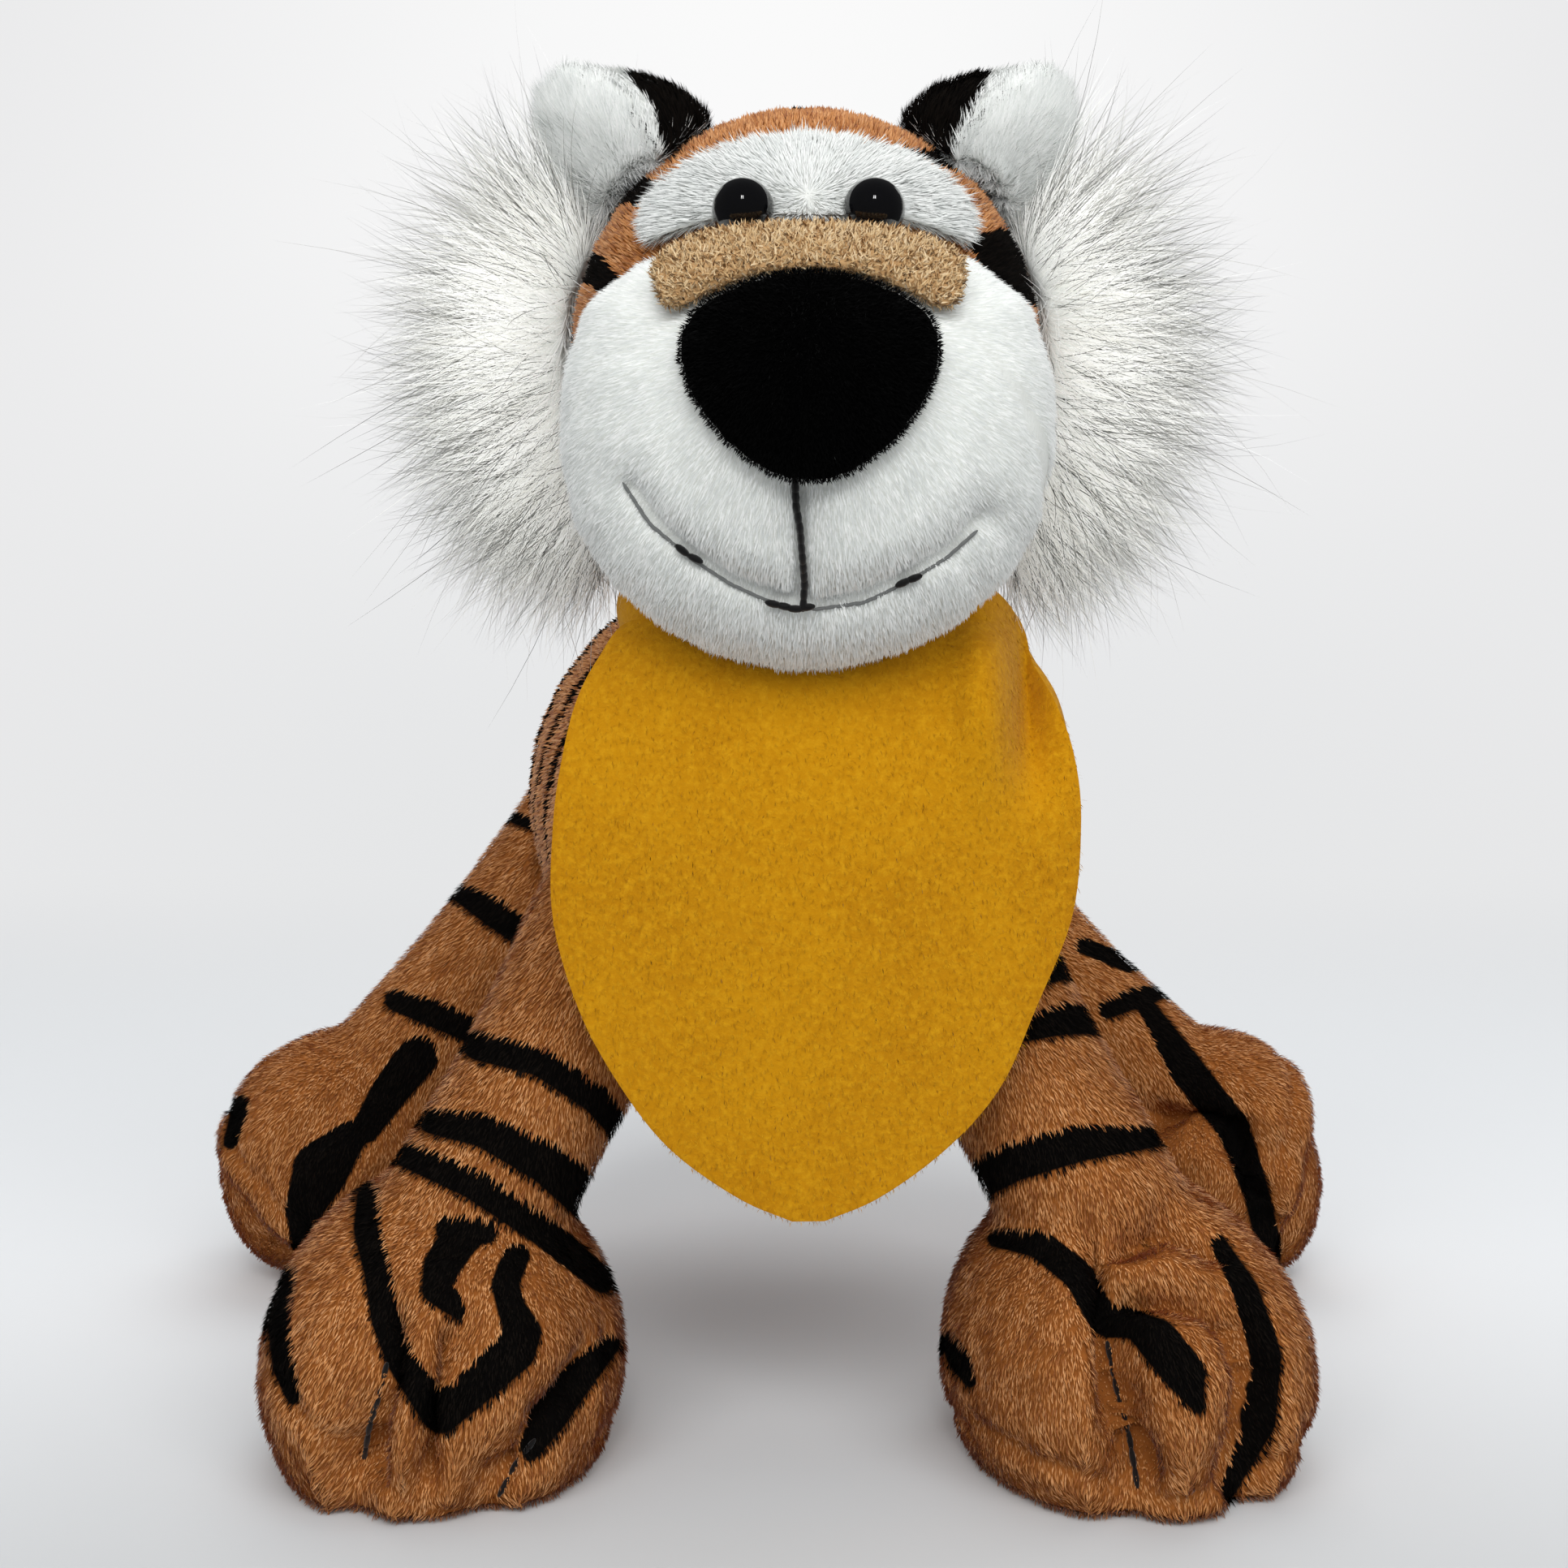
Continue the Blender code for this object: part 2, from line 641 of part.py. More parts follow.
def build_limb(name, side, spot, paw_matrix, start, end, swing, guard, root):
    """One leg: its cover, filling, sole and pellet bag, and the joint they swing on."""
    pivot = start.lerp(end, PIVOT_SHARE)
    joint = joint_empty(f"{name}_joint", pivot, root)
    size = paw_matrix.to_scale().x
    wall, gap = PILE_CLOTH / size, SEAM_GAP / size
    core = wall + gap
    floor = bpy.data.objects["floor"]
    guards = [guard]
    for degrees in swing:
        guards.append(turned_guard(f"{name}_guard_{abs(degrees)}", guard, pivot, -degrees))

    skin = loft(f"{spot}_leg_{side}", placed(paw_rings(SOLE_SEAM, 0), paw_matrix), "orange_plush", joint)
    tube = helper(loft(f"{name}_tube", leg_tube(start, end, 0), "helper", joint))
    hollow_paw = paw_rings(SOLE_SEAM, wall)
    hollow_paw.insert(0, [point - Vector((0, 0, OVERRUN)) for point in hollow_paw[0]])
    paw_bore = helper(loft(f"{name}_paw_bore", placed(hollow_paw, paw_matrix), "helper", joint))
    leg_bore = helper(loft(f"{name}_leg_bore", leg_tube(start, end, PILE_CLOTH, OVERRUN), "helper", joint))
    rod = helper(loft(f"{name}_core", leg_tube(start, end, PILE_CLOTH + SEAM_GAP), "helper", joint))
    for cutter in guards:
        cut(tube, cutter)
        cut(rod, cutter)
    cut(skin, tube, "UNION")
    cut(skin, paw_bore)
    cut(skin, leg_bore)

    filling = loft(
        f"{spot}_leg_{side}_stuffing",
        placed(paw_rings(PELLET_TOP + gap, core), paw_matrix),
        "stuffing",
        joint,
    )
    cut(filling, rod, "UNION")

    rim = SOLE_SEAM - gap
    outer = [paw_outline(rim * share, 0) for share in SOLE_LEVEL_SHARES]
    inner = [paw_outline(wall + (rim - wall) * share, wall) for share in SOLE_LEVEL_SHARES]
    outer, inner = placed(outer, paw_matrix), placed(inner, paw_matrix)
    sole = shell(f"{spot}_sole_{side}", outer, inner, "orange_plush", joint)
    bag = [paw_outline(core + (PELLET_TOP - core) * share, core) for share in SOLE_LEVEL_SHARES]
    loft(f"{spot}_pellets_{side}", placed(bag, paw_matrix), "pellets", joint)
    if spot == "hind":
        cut(skin, floor)
        cut(sole, floor)


def build_legs(guard, root):
    """Front paws stand flat; hind paws lie on their lower edges with the soles turned out."""
    ankle = (PAW_WIDEST + PAW_HEIGHT) / 2
    hind = {
        "left": (LEFT_PAW_OUT, LEFT_SOLE_TILT_DEG, LEFT_ANKLE_RISE, LEFT_HIP_OUT, LEFT_HIP_HEIGHT),
        "right": (RIGHT_PAW_OUT, RIGHT_SOLE_TILT_DEG, RIGHT_ANKLE_RISE, RIGHT_HIP_OUT, RIGHT_HIP_HEIGHT),
    }
    for side, sign in LEFT_RIGHT:
        turn = Matrix.Rotation(math.radians(sign * FRONT_PAW_TURNS_DEG[side]), 4, "Z")
        matrix = Matrix.Translation((sign * FRONT_PAW_OUT, -FRONT_PAW_FORWARD, 0)) @ turn
        start = Vector((sign * SHOULDER_OUT, -SHOULDER_FORWARD, SHOULDER_HEIGHT))
        end = matrix @ Vector((0, 0, ankle))
        build_limb(f"shoulder_{side}", side, "front", matrix, start, end, FRONT_SWING_DEG, guard, root)

        paw_out, tilt, rise, hip_out, hip_height = hind[side]
        turn = Matrix.Rotation(math.radians(-sign * tilt), 4, "Y") @ Matrix.Scale(HIND_PAW_SHARE, 4)
        lowest = min((turn @ point).z for ring in paw_rings(0.0, 0) for point in ring)
        matrix = Matrix.Translation((sign * paw_out, HIND_PAW_BACK, -lowest - FLAT_DEPTH)) @ turn
        start = Vector((sign * hip_out, TORSO_LENGTH * HIP_BACK_SHARE, hip_height))
        end = matrix @ Vector((sign * rise, 0, ankle))
        build_limb(f"hip_{side}", side, "hind", matrix, start, end, HIND_SWING_DEG, guard, root)


def build_tail(guard, root):
    """A stuffed tail that hangs behind, open where the rump closes it."""
    pivot = Vector((0, TAIL_ROOT_BACK + TAIL_RADIUS, TAIL_ROOT_HEIGHT))
    joint = joint_empty("tail_joint", pivot, root)

    def rings(inset, overrun):
        path = []
        root_spot = Vector((0, TAIL_ROOT_BACK, TAIL_ROOT_HEIGHT))
        for along, up, _ in TAIL_SHARES:
            path.append(root_spot + Vector((0, along, up)) * TAIL_LENGTH)
        path[0].y -= overrun
        found = []
        for k, (_, _, swell) in enumerate(TAIL_SHARES):
            heading = (path[min(k + 1, len(path) - 1)] - path[max(k - 1, 0)]).normalized()
            across = Vector((1, 0, 0))
            centre = path[k] - heading * inset if k == len(path) - 1 else path[k]
            radius = TAIL_RADIUS * swell - inset
            found.append(circle(centre, across, across.cross(heading), radius, TAIL_SIDES))
        return found[::-1]

    skin = shell("tail_skin", rings(0, 0), rings(PILE_CLOTH, 0), "orange_plush", joint)
    core = loft("tail_stuffing", rings(PILE_CLOTH + SEAM_GAP, 0), "stuffing", joint)
    guards = [guard] + [turned_guard(f"tail_guard_{abs(deg)}", guard, pivot, -deg) for deg in TAIL_SWING_DEG]
    for cutter in guards:
        cut(skin, cutter)
        cut(core, cutter)


def build_head(root):
    """The skull's cover and filling, the muzzle and the panels and trims on them."""
    joint = joint_empty("head_joint", Vector((0, -NECK_FORWARD, NECK_TOP)), root)
    core = PILE_CLOTH + SEAM_GAP
    head = shell("head_skin", head_rings(0), head_rings(PILE_CLOTH), "orange_plush", joint)
    filling = head_rings(core)
    filling[-1] = [point + Vector((0, 0, SEAM_GAP)) for point in filling[-1]]
    head_core = loft("head_stuffing", filling, "stuffing", joint)
    guard = helper(loft("head_guard", head_rings(-SEAM_GAP), "helper", joint))

    muzzle = loft("muzzle_skin", muzzle_rings(0), "white_plush", joint)
    cut(muzzle, helper(loft("muzzle_bore", muzzle_rings(PILE_CLOTH, OVERRUN), "helper", joint)))
    muzzle_core = loft("muzzle_stuffing", muzzle_rings(core + MUZZLE_FILL_EASE), "stuffing", joint)
    collar = NECK_RADIUS + COLLAR_EASE + FELT + (NECK_TOP - COLLAR_FRONT_LOW) * COLLAR_FLARE_SHARE
    low, high = COLLAR_FRONT_LOW - OVERRUN, COLLAR_FRONT_HIGH + OVERRUN
    steps = ((low, collar + OVERRUN), (high, collar + OVERRUN))
    sweep = along_axis(Vector((0, -NECK_FORWARD, 0)), Vector((0, 0, 1)), steps, 2 * EYE_SIDES)
    sweep = helper(loft("collar_sweep", sweep, "helper", joint))
    for body in (muzzle, muzzle_core):
        cut(body, guard)
        cut(body, sweep)

    build_face(joint, head, head_core, guard)
    build_ears(joint, guard)
    build_ruffs(joint, guard)


def build_face(joint, head, head_core, guard):
    """The nose, its bridge, the eye patch and the eyes with their washers."""
    middle = muzzle_middle()
    low = middle.z - NOSE_LOW
    half = [(x * NOSE_WIDTH / 2, low + z * NOSE_HEIGHT) for x, z in NOSE_SHARES]
    outline = [(middle.x + x, z) for x, z in half] + [(middle.x - x, z) for x, z in half[-2:0:-1]]
    outline = closed_curve(outline, NOSE_CURVE_STEPS)
    centre = (middle.x, low + NOSE_HEIGHT / 2)
    rings = lens(centre, outline, muzzle_front, SEAM_GAP, SEAM_GAP + NOSE_PAD)
    loft("nose", rings, "nose_cloth", joint)

    grids = []
    for lift in (SEAM_GAP + BRIDGE_PAD, SEAM_GAP):
        rows = []
        for r in range(BRIDGE_ROWS):
            row = []
            for c in range(BRIDGE_COLUMNS):
                side = 1 - 2 * c / (BRIDGE_COLUMNS - 1)
                across = r / (BRIDGE_ROWS - 1)
                half = BRIDGE_FRONT_HALF_DEG + (BRIDGE_HALF_DEG - BRIDGE_FRONT_HALF_DEG) * across
                angle = math.radians(90 + half * side)
                last = BRIDGE_BACK_DEG + (BRIDGE_END_DEG - BRIDGE_BACK_DEG) * side * side
                first = bridge_front_deg(angle, low, last)
                row.append(muzzle_point(angle, first + (last - first) * across, lift))
            rows.append(row)
        grids.append(rows)
    bridge = slab("nose_bridge", grids[0], grids[1], "tan_fleece", joint)
    cut(bridge, guard)

    head_mid = head_middle()
    top, bottom = HEAD_HEIGHT / 2 * PATCH_TOP_SHARE, HEAD_HEIGHT / 2 * PATCH_BOTTOM_SHARE
    patch_middle = head_mid.z + (top + bottom) / 2
    outline = []
    for k in range(PATCH_SIDES):
        angle = math.tau * k / PATCH_SIDES
        z = patch_middle + (top - bottom) / 2 * math.sin(angle)
        outline.append((head_mid.x + PATCH_WIDTH / 2 * math.cos(angle), z))
    rings = lens((head_mid.x, patch_middle), outline, head_front, SEAM_GAP, SEAM_GAP + PILE_CLOTH)
    patch = loft("eye_patch", rings, "white_plush", joint)
    lifted = muzzle_rings(-BRIDGE_PAD - 2 * SEAM_GAP)
    cut(patch, helper(loft("muzzle_guard", lifted, "helper", joint)))

    for side, sign in LEFT_RIGHT:
        x, z = head_mid.x + sign * EYE_SPACING / 2, head_mid.z + HEAD_HEIGHT / 2 * EYE_RISE_SHARE
        spot = head_front(x, z, 0.0)
        off = spot - head_mid
        axes = (HEAD_WIDTH / 2, HEAD_DEPTH / 2, HEAD_HEIGHT / 2)
        out = Vector([value / axis**2 for value, axis in zip(off, axes)]).normalized()
        face = 2 * SEAM_GAP + PILE_CLOTH
        washer = -PILE_CLOTH - SEAM_GAP - WASHER_SAG
        stub = washer - WASHER_THICK - SHANK_END
        steps = [(stub, SHANK_RADIUS), (face, SHANK_RADIUS)]
        steps += [(face + EYE_DOME * along, EYE_RADIUS * share) for along, share in BEAD_SHARES]
        loft(f"eye_{side}", along_axis(spot, out, steps, EYE_SIDES), "eye_plastic", joint)
        hole = SHANK_RADIUS + SEAM_GAP
        steps = ((stub - SEAM_GAP, hole), (face + OVERRUN / 2, hole))
        bore = helper(loft(f"eye_bore_{side}", along_axis(spot, out, steps, EYE_SIDES), "helper", joint))
        cut(head, bore)
        cut(patch, bore)
        steps = ((stub - SEAM_GAP, WASHER_RADIUS + SEAM_GAP), (OVERRUN, WASHER_RADIUS + SEAM_GAP))
        pocket = loft(f"washer_pocket_{side}", along_axis(spot, out, steps, EYE_SIDES), "helper", joint)
        cut(head_core, helper(pocket))
        steps = ((washer - WASHER_THICK, WASHER_RADIUS), (washer, WASHER_RADIUS))
        disc = loft(f"eye_washer_{side}", along_axis(spot, out, steps, EYE_SIDES), "washer_plastic", joint)
        cut(disc, bore)


def bridge_front_deg(angle, nose_low, last):
    """The dome angle at which the bridge starts, just over the nose's upper edge."""
    edge = nose_low + NOSE_HEIGHT + NOSE_FROM_TOP_GAP
    for half in range(2 * BRIDGE_BACK_DEG):
        point = muzzle_point(angle, half / 2, SEAM_GAP)
        side = abs(point.x - muzzle_middle().x) / (NOSE_WIDTH / 2)
        fall = NOSE_HEIGHT * NOSE_TOP_FALL_SHARE * min(side, NOSE_SIDE_SHARE) ** 2
        if point.z > edge - fall or side > NOSE_SIDE_SHARE:
            return min(half / 2, last - BRIDGE_LEAST_DEG)
    return last - BRIDGE_LEAST_DEG


def closed_curve(outline, steps):
    """The outline's points with others between them, on a closed Catmull-Rom curve."""
    count = len(outline)
    found = []
    for k in range(count):
        a, b, c, d = (outline[(k + step) % count] for step in (-1, 0, 1, 2))
        for part in range(steps):
            t = part / steps
            spot = []
            for p, q, r, s in zip(a, b, c, d):
                bend = (2 * p - 5 * q + 4 * r - s) * t * t + (3 * q - p - 3 * r + s) * t**3
                spot.append((2 * q + (r - p) * t + bend) / 2)
            found.append(tuple(spot))
    return found


def ear_frame(sign):
    """The ear's root and its own axes: from root to tip, across and the way its cup faces."""
    up_angle = math.radians(EAR_UP_DEG)
    reach = Vector((sign * HEAD_WIDTH / 2 * math.cos(up_angle), 0, HEAD_HEIGHT / 2 * math.sin(up_angle)))
    lean, turn = math.radians(EAR_LEAN_DEG), math.radians(EAR_TURN_DEG)
    tall = Vector((sign * math.sin(lean), 0, math.cos(lean)))
    out = Vector((sign * math.cos(lean), 0, -math.sin(lean)))
    front = Vector((0, -1, 0))
    facing = out * math.sin(turn) + front * math.cos(turn)
    wide = out * math.cos(turn) - front * math.sin(turn)
    return head_middle() + reach * EAR_ROOT_SHARE, tall, wide, facing


def ear_spot(frame, t, u, grown):
    """A point of the ear's bowl, t of the way to its tip and u of the way to its edge."""
    root, tall, wide, facing = frame
    place = min(max(t, 0.0), 1.0) * (len(EAR_SHARES) - 1)
    k = min(int(place), len(EAR_SHARES) - 2)
    share = EAR_SHARES[k] + (EAR_SHARES[k + 1] - EAR_SHARES[k]) * (place - k)
    rim = 1 - share * share * (1 - u * u)
    side = (EAR_WIDTH / 2 * share + grown) * u
    return root + tall * (EAR_HEIGHT * t) + wide * side + facing * (EAR_CUP * (rim - 1))


def ear_grid(frame, lift, grown=0.0):
    """Rows of points on the bowl, lifted from it along its normals."""
    facing, step = frame[3], EAR_STEP_SHARE
    rows = []
    for r in range(len(EAR_SHARES)):
        t = r / (len(EAR_SHARES) - 1)
        row = []
        for c in range(EAR_COLUMNS):
            u = 2 * c / (EAR_COLUMNS - 1) - 1
            along = ear_spot(frame, t + step, u, 0) - ear_spot(frame, t - step, u, 0)
            across = ear_spot(frame, t, u + step, 0) - ear_spot(frame, t, u - step, 0)
            normal = along.cross(across).normalized()
            if normal.dot(facing) < 0:
                normal.negate()
            row.append(ear_spot(frame, t, u, grown) + normal * lift)
        rows.append(row)
    return rows


def build_ears(joint, guard):
    """Two bowls to an ear, white in front and black behind, rooted on the skull."""
    for side, sign in LEFT_RIGHT:
        frame = ear_frame(sign)
        front, back = ear_grid(frame, SEAM_GAP + EAR_PAD), ear_grid(frame, SEAM_GAP)
        cut(slab(f"ear_front_{side}", front, back, "white_plush", joint), guard)
        front, back = ear_grid(frame, 0.0), ear_grid(frame, -EAR_PAD)
        cut(slab(f"ear_back_{side}", front, back, "black_plush", joint), guard)
        front = ear_grid(frame, 2 * SEAM_GAP + EAR_PAD, SEAM_GAP)
        back = ear_grid(frame, -SEAM_GAP - EAR_PAD, SEAM_GAP)
        helper(slab(f"ear_guard_{side}", front, back, "helper", joint))


def build_ruffs(joint, guard):
    """A padded strip down each side of the head, which carries the long fur."""
    middle = head_middle()
    lifted = helper(loft("cheek_guard", muzzle_rings(-SEAM_GAP, 0), "helper", joint))
    for side, sign in LEFT_RIGHT:
        rings = []
        for degrees, swell in RUFF_SHARES:
            angle = math.radians(degrees)
            out = Vector((sign * math.cos(angle), 0, math.sin(angle)))
            centre = middle + out * RUFF_OUT + Vector((0, RUFF_BACK, 0))
            radial, deep = RUFF_RADIAL * swell, RUFF_DEEP * swell
            rings.append(circle(centre, out, Vector((0, 1, 0)), radial, RUFF_SIDES, deep))
        ruff = loft(f"ruff_{side}", rings, "long_fur", joint)
        cut(ruff, guard)
        cut(ruff, lifted)
        cut(ruff, bpy.data.objects[f"ear_guard_{side}"])


def floor_cutter(root):
    """A block below the floor, which cuts the hind paws flat where they stand."""
    reach = TORSO_LENGTH + LEFT_PAW_OUT
    corners = ((-reach, -reach), (reach, -reach), (reach, reach), (-reach, reach))
    low = [Vector((x, y, -OVERRUN)) for x, y in corners]
    high = [Vector((point.x, point.y, 0)) for point in low]
    return helper(loft("floor", [low, high], "helper", root))


def centre_on_floor(root):
    """Moves the whole toy so that the origin is on the floor under the middle of its bounding box."""
    bpy.context.view_layer.update()
    graph = bpy.context.evaluated_depsgraph_get()
    corners = []
    for body in bpy.context.scene.objects:
        if body.type == "MESH" and not body.hide_render:
            ready = body.evaluated_get(graph)
            corners += [ready.matrix_world @ Vector(corner) for corner in ready.bound_box]
    low = [min(corner[axis] for corner in corners) for axis in range(3)]
    high = [max(corner[axis] for corner in corners) for axis in range(3)]
    root.location = (-(low[0] + high[0]) / 2, -(low[1] + high[1]) / 2, -low[2])


# Each kind of cloth or filling: colour and roughness
KINDS = {
    "orange_plush": ((0.53, 0.26, 0.09), 0.9),
    "white_plush": ((0.85, 0.87, 0.87), 0.9),
    "black_plush": ((0.012, 0.011, 0.01), 0.9),
    "long_fur": ((0.85, 0.84, 0.8), 0.85),
    "tan_fleece": ((0.62, 0.39, 0.18), 0.95),
    "nose_cloth": ((0.004, 0.004, 0.004), 0.8),
    "felt": ((0.72, 0.34, 0.01), 0.95),
    "eye_plastic": ((0.005, 0.005, 0.006), 0.08),
    "washer_plastic": ((0.75, 0.75, 0.73), 0.4),
    "stuffing": ((0.88, 0.88, 0.86), 0.95),
    "pellets": ((0.7, 0.7, 0.72), 0.5),
    "helper": ((0.2, 0.5, 0.9), 0.5),
}


def main():
    for body in list(bpy.data.objects):
        bpy.data.objects.remove(body)
    root = bpy.data.objects.new("plush_tiger", None)
    bpy.context.collection.objects.link(root)
    bpy.context.view_layer.update()
    floor_cutter(root)
    guard = build_torso(root)
    build_bandana(root)
    build_legs(guard, root)
    build_tail(guard, root)
    build_head(root)
    centre_on_floor(root)


main()
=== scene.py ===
"""Looks for the plush tiger: soft stuffed skins, pile and long fur, felt, beads and stitching.

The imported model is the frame. Each stuffed skin is rounded from its own CAD solids, Geometry Nodes
stand the pile on it, and the stripes, creases and stitches follow the photograph through its camera.
"""

import json
import logging
import math
from dataclasses import dataclass, field, replace
from enum import Enum
from functools import lru_cache

import bmesh
import bpy
import numpy as np
from mathutils import Matrix, Vector
from mathutils.bvhtree import BVHTree
from mathutils.kdtree import KDTree


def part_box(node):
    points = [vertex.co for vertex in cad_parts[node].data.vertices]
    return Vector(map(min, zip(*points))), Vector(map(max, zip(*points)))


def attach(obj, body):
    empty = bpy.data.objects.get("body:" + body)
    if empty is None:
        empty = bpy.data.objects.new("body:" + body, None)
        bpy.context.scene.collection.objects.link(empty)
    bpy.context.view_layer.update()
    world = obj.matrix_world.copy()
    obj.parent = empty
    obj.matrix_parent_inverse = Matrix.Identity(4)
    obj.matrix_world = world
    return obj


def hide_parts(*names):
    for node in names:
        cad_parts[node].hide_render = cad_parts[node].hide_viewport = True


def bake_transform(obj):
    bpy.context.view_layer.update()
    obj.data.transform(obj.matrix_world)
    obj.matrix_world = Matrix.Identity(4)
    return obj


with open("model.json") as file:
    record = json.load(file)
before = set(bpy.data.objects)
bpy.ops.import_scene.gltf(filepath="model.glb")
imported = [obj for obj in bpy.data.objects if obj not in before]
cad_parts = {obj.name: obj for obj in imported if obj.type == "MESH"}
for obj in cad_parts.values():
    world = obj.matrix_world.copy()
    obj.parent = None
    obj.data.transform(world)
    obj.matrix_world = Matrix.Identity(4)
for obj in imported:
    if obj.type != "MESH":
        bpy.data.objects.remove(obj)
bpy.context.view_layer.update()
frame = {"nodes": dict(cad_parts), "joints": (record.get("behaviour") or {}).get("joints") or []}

LOG = logging.getLogger("plush_tiger")
MM = 0.001
DYE_EDGE_PX = 10.0
UNDYED = -9.0
Path3 = tuple[tuple[float, float, float], ...]


# --- Small tools -------------------------------------------------------------------------------


def linear(code: str) -> tuple[float, float, float, float]:
    """Turns an sRGB hex colour into linear red, green, blue and alpha.

    Args:
        code: the colour as six hex digits after a #.

    Returns:
        The colour in the linear space that shaders work in.
    """
    values = [int(code[k : k + 2], 16) / 255 for k in (1, 3, 5)]
    parts = [v / 12.92 if v <= 0.04045 else ((v + 0.055) / 1.055) ** 2.4 for v in values]
    return (*parts, 1.0)


def add(
    tree: bpy.types.NodeTree,
    kind: str,
    values: dict | None = None,
    take: int | str | None = None,
    **settings: object,
) -> bpy.types.Node | bpy.types.NodeSocket:
    """Adds a node with its settings and its inputs.

    Args:
        tree: the tree that takes the node.
        kind: the node's type.
        values: input name or number to a value, or to the socket that feeds it.
        take: the output that is wanted in place of the node, if one is.
        settings: the node's own properties.

    Returns:
        The new node, or its wanted output.
    """
    made = tree.nodes.new(kind)
    for key, value in settings.items():
        setattr(made, key, value)
    for key, value in (values or {}).items():
        if isinstance(value, bpy.types.NodeSocket):
            tree.links.new(value, made.inputs[key])
        else:
            made.inputs[key].default_value = value
    return made if take is None else made.outputs[take]


def joint_place(name: str) -> Vector:
    """The point of a CAD joint, in the row frame."""
    return Vector(next(j["pos_m"] for j in frame["joints"] if j["name"] == name))


def linked(name: str, mesh: bpy.types.Mesh) -> bpy.types.Object:
    """A new object at the origin that shows the mesh."""
    made = bpy.data.objects.new(name, mesh)
    bpy.context.scene.collection.objects.link(made)
    return made


def points_of(mesh: bpy.types.Mesh) -> np.ndarray:
    """The mesh's points as rows of x, y and z."""
    flat = np.empty(len(mesh.vertices) * 3, np.float32)
    mesh.vertices.foreach_get("co", flat)
    return flat.reshape(-1, 3).astype(float)


def normals_of(mesh: bpy.types.Mesh) -> np.ndarray:
    """The mesh's point normals as rows of x, y and z."""
    flat = np.empty(len(mesh.vertices) * 3, np.float32)
    mesh.vertices.foreach_get("normal", flat)
    return flat.reshape(-1, 3).astype(float)


def set_points(mesh: bpy.types.Mesh, points: np.ndarray) -> None:
    """Moves the mesh's points."""
    mesh.vertices.foreach_set("co", points.astype(np.float32).ravel())
    mesh.update()


def store(mesh: bpy.types.Mesh, name: str, values: np.ndarray) -> None:
    """Keeps one number or one vector for each point of the mesh under a name."""
    kind, key = ("FLOAT", "value") if values.ndim == 1 else ("FLOAT_VECTOR", "vector")
    kept = mesh.attributes.get(name) or mesh.attributes.new(name, kind, "POINT")
    kept.data.foreach_set(key, values.astype(np.float32).ravel())


def evaluated_mesh(made: bpy.types.Object) -> bpy.types.Mesh:
    """The object's mesh as its modifiers leave it."""
    graph = bpy.context.evaluated_depsgraph_get()
    graph.update()
    return bpy.data.meshes.new_from_object(made.evaluated_get(graph), depsgraph=graph)


def tree_of(made: bpy.types.Object) -> BVHTree:
    """A search tree over an object's faces."""
    mesh = made.data
    return BVHTree.FromPolygons([v.co for v in mesh.vertices], [p.vertices for p in mesh.polygons])


def gaps_to(tree: BVHTree, points: np.ndarray) -> np.ndarray:
    """Distances from points to a surface, below zero inside it."""
    found = np.empty(len(points))
    for k, point in enumerate(points):
        place, normal, _, far = tree.find_nearest(Vector(point))
        found[k] = -far if (Vector(point) - place).dot(normal) < 0 else far
    return found


def lookup_of(points: np.ndarray) -> KDTree:
    """A search tree over points."""
    made = KDTree(len(points))
    for k, point in enumerate(points):
        made.insert(point, k)
    made.balance()
    return made


def unit(rows: np.ndarray) -> np.ndarray:
    """The rows, each made one long."""
    return rows / np.maximum(np.linalg.norm(rows, axis=1), 1e-9)[:, None]


def towards(points: np.ndarray, spot: Vector) -> np.ndarray:
    """Unit vectors from a spot to each point."""
    return unit(points - np.array(spot))


def ramp(values: np.ndarray, start: float, width: float) -> np.ndarray:
    """Shares that rise from 0 at the start to 1 a width later."""
    return np.clip((values - start) / width, 0, 1)


def ridge(values: np.ndarray, width: float) -> np.ndarray:
    """Shares that are 1 where a value is 0 and fall off smoothly to both sides."""
    return np.exp(-((values / width) ** 2))


def remeshed(name: str, mesh: bpy.types.Mesh, voxel: float) -> bpy.types.Mesh:
    """One closed surface of even cells round a mesh."""
    rough = linked(name + "_rough", mesh)
    remesh = rough.modifiers.new("close", "REMESH")
    remesh.mode = "VOXEL"
    remesh.voxel_size = voxel
    closed = evaluated_mesh(rough)
    bpy.data.objects.remove(rough)
    return closed


def turn_outward(mesh: bpy.types.Mesh) -> None:
    """Turns the faces of a closed mesh outward."""
    shape = bmesh.new()
    shape.from_mesh(mesh)
    bmesh.ops.recalc_face_normals(shape, faces=shape.faces)
    shape.to_mesh(mesh)
    shape.free()


def smooth_rows(rows: tuple, count: int) -> np.ndarray:
    """Rows read at even steps along a Catmull-Rom curve through the given ones."""
    given = np.array(rows, float)
    path = np.vstack([2 * given[0] - given[1], given, 2 * given[-1] - given[-2]])
    place = np.linspace(0, len(given) - 1, count)
    k = np.minimum(place.astype(int), len(given) - 2)
    t = (place - k)[:, None]
    a, b, c, d = path[k], path[k + 1], path[k + 2], path[k + 3]
    bend = (2 * a - 5 * b + 4 * c - d) * t**2 + (3 * b - a - 3 * c + d) * t**3
    return (2 * b + (c - a) * t + bend) / 2


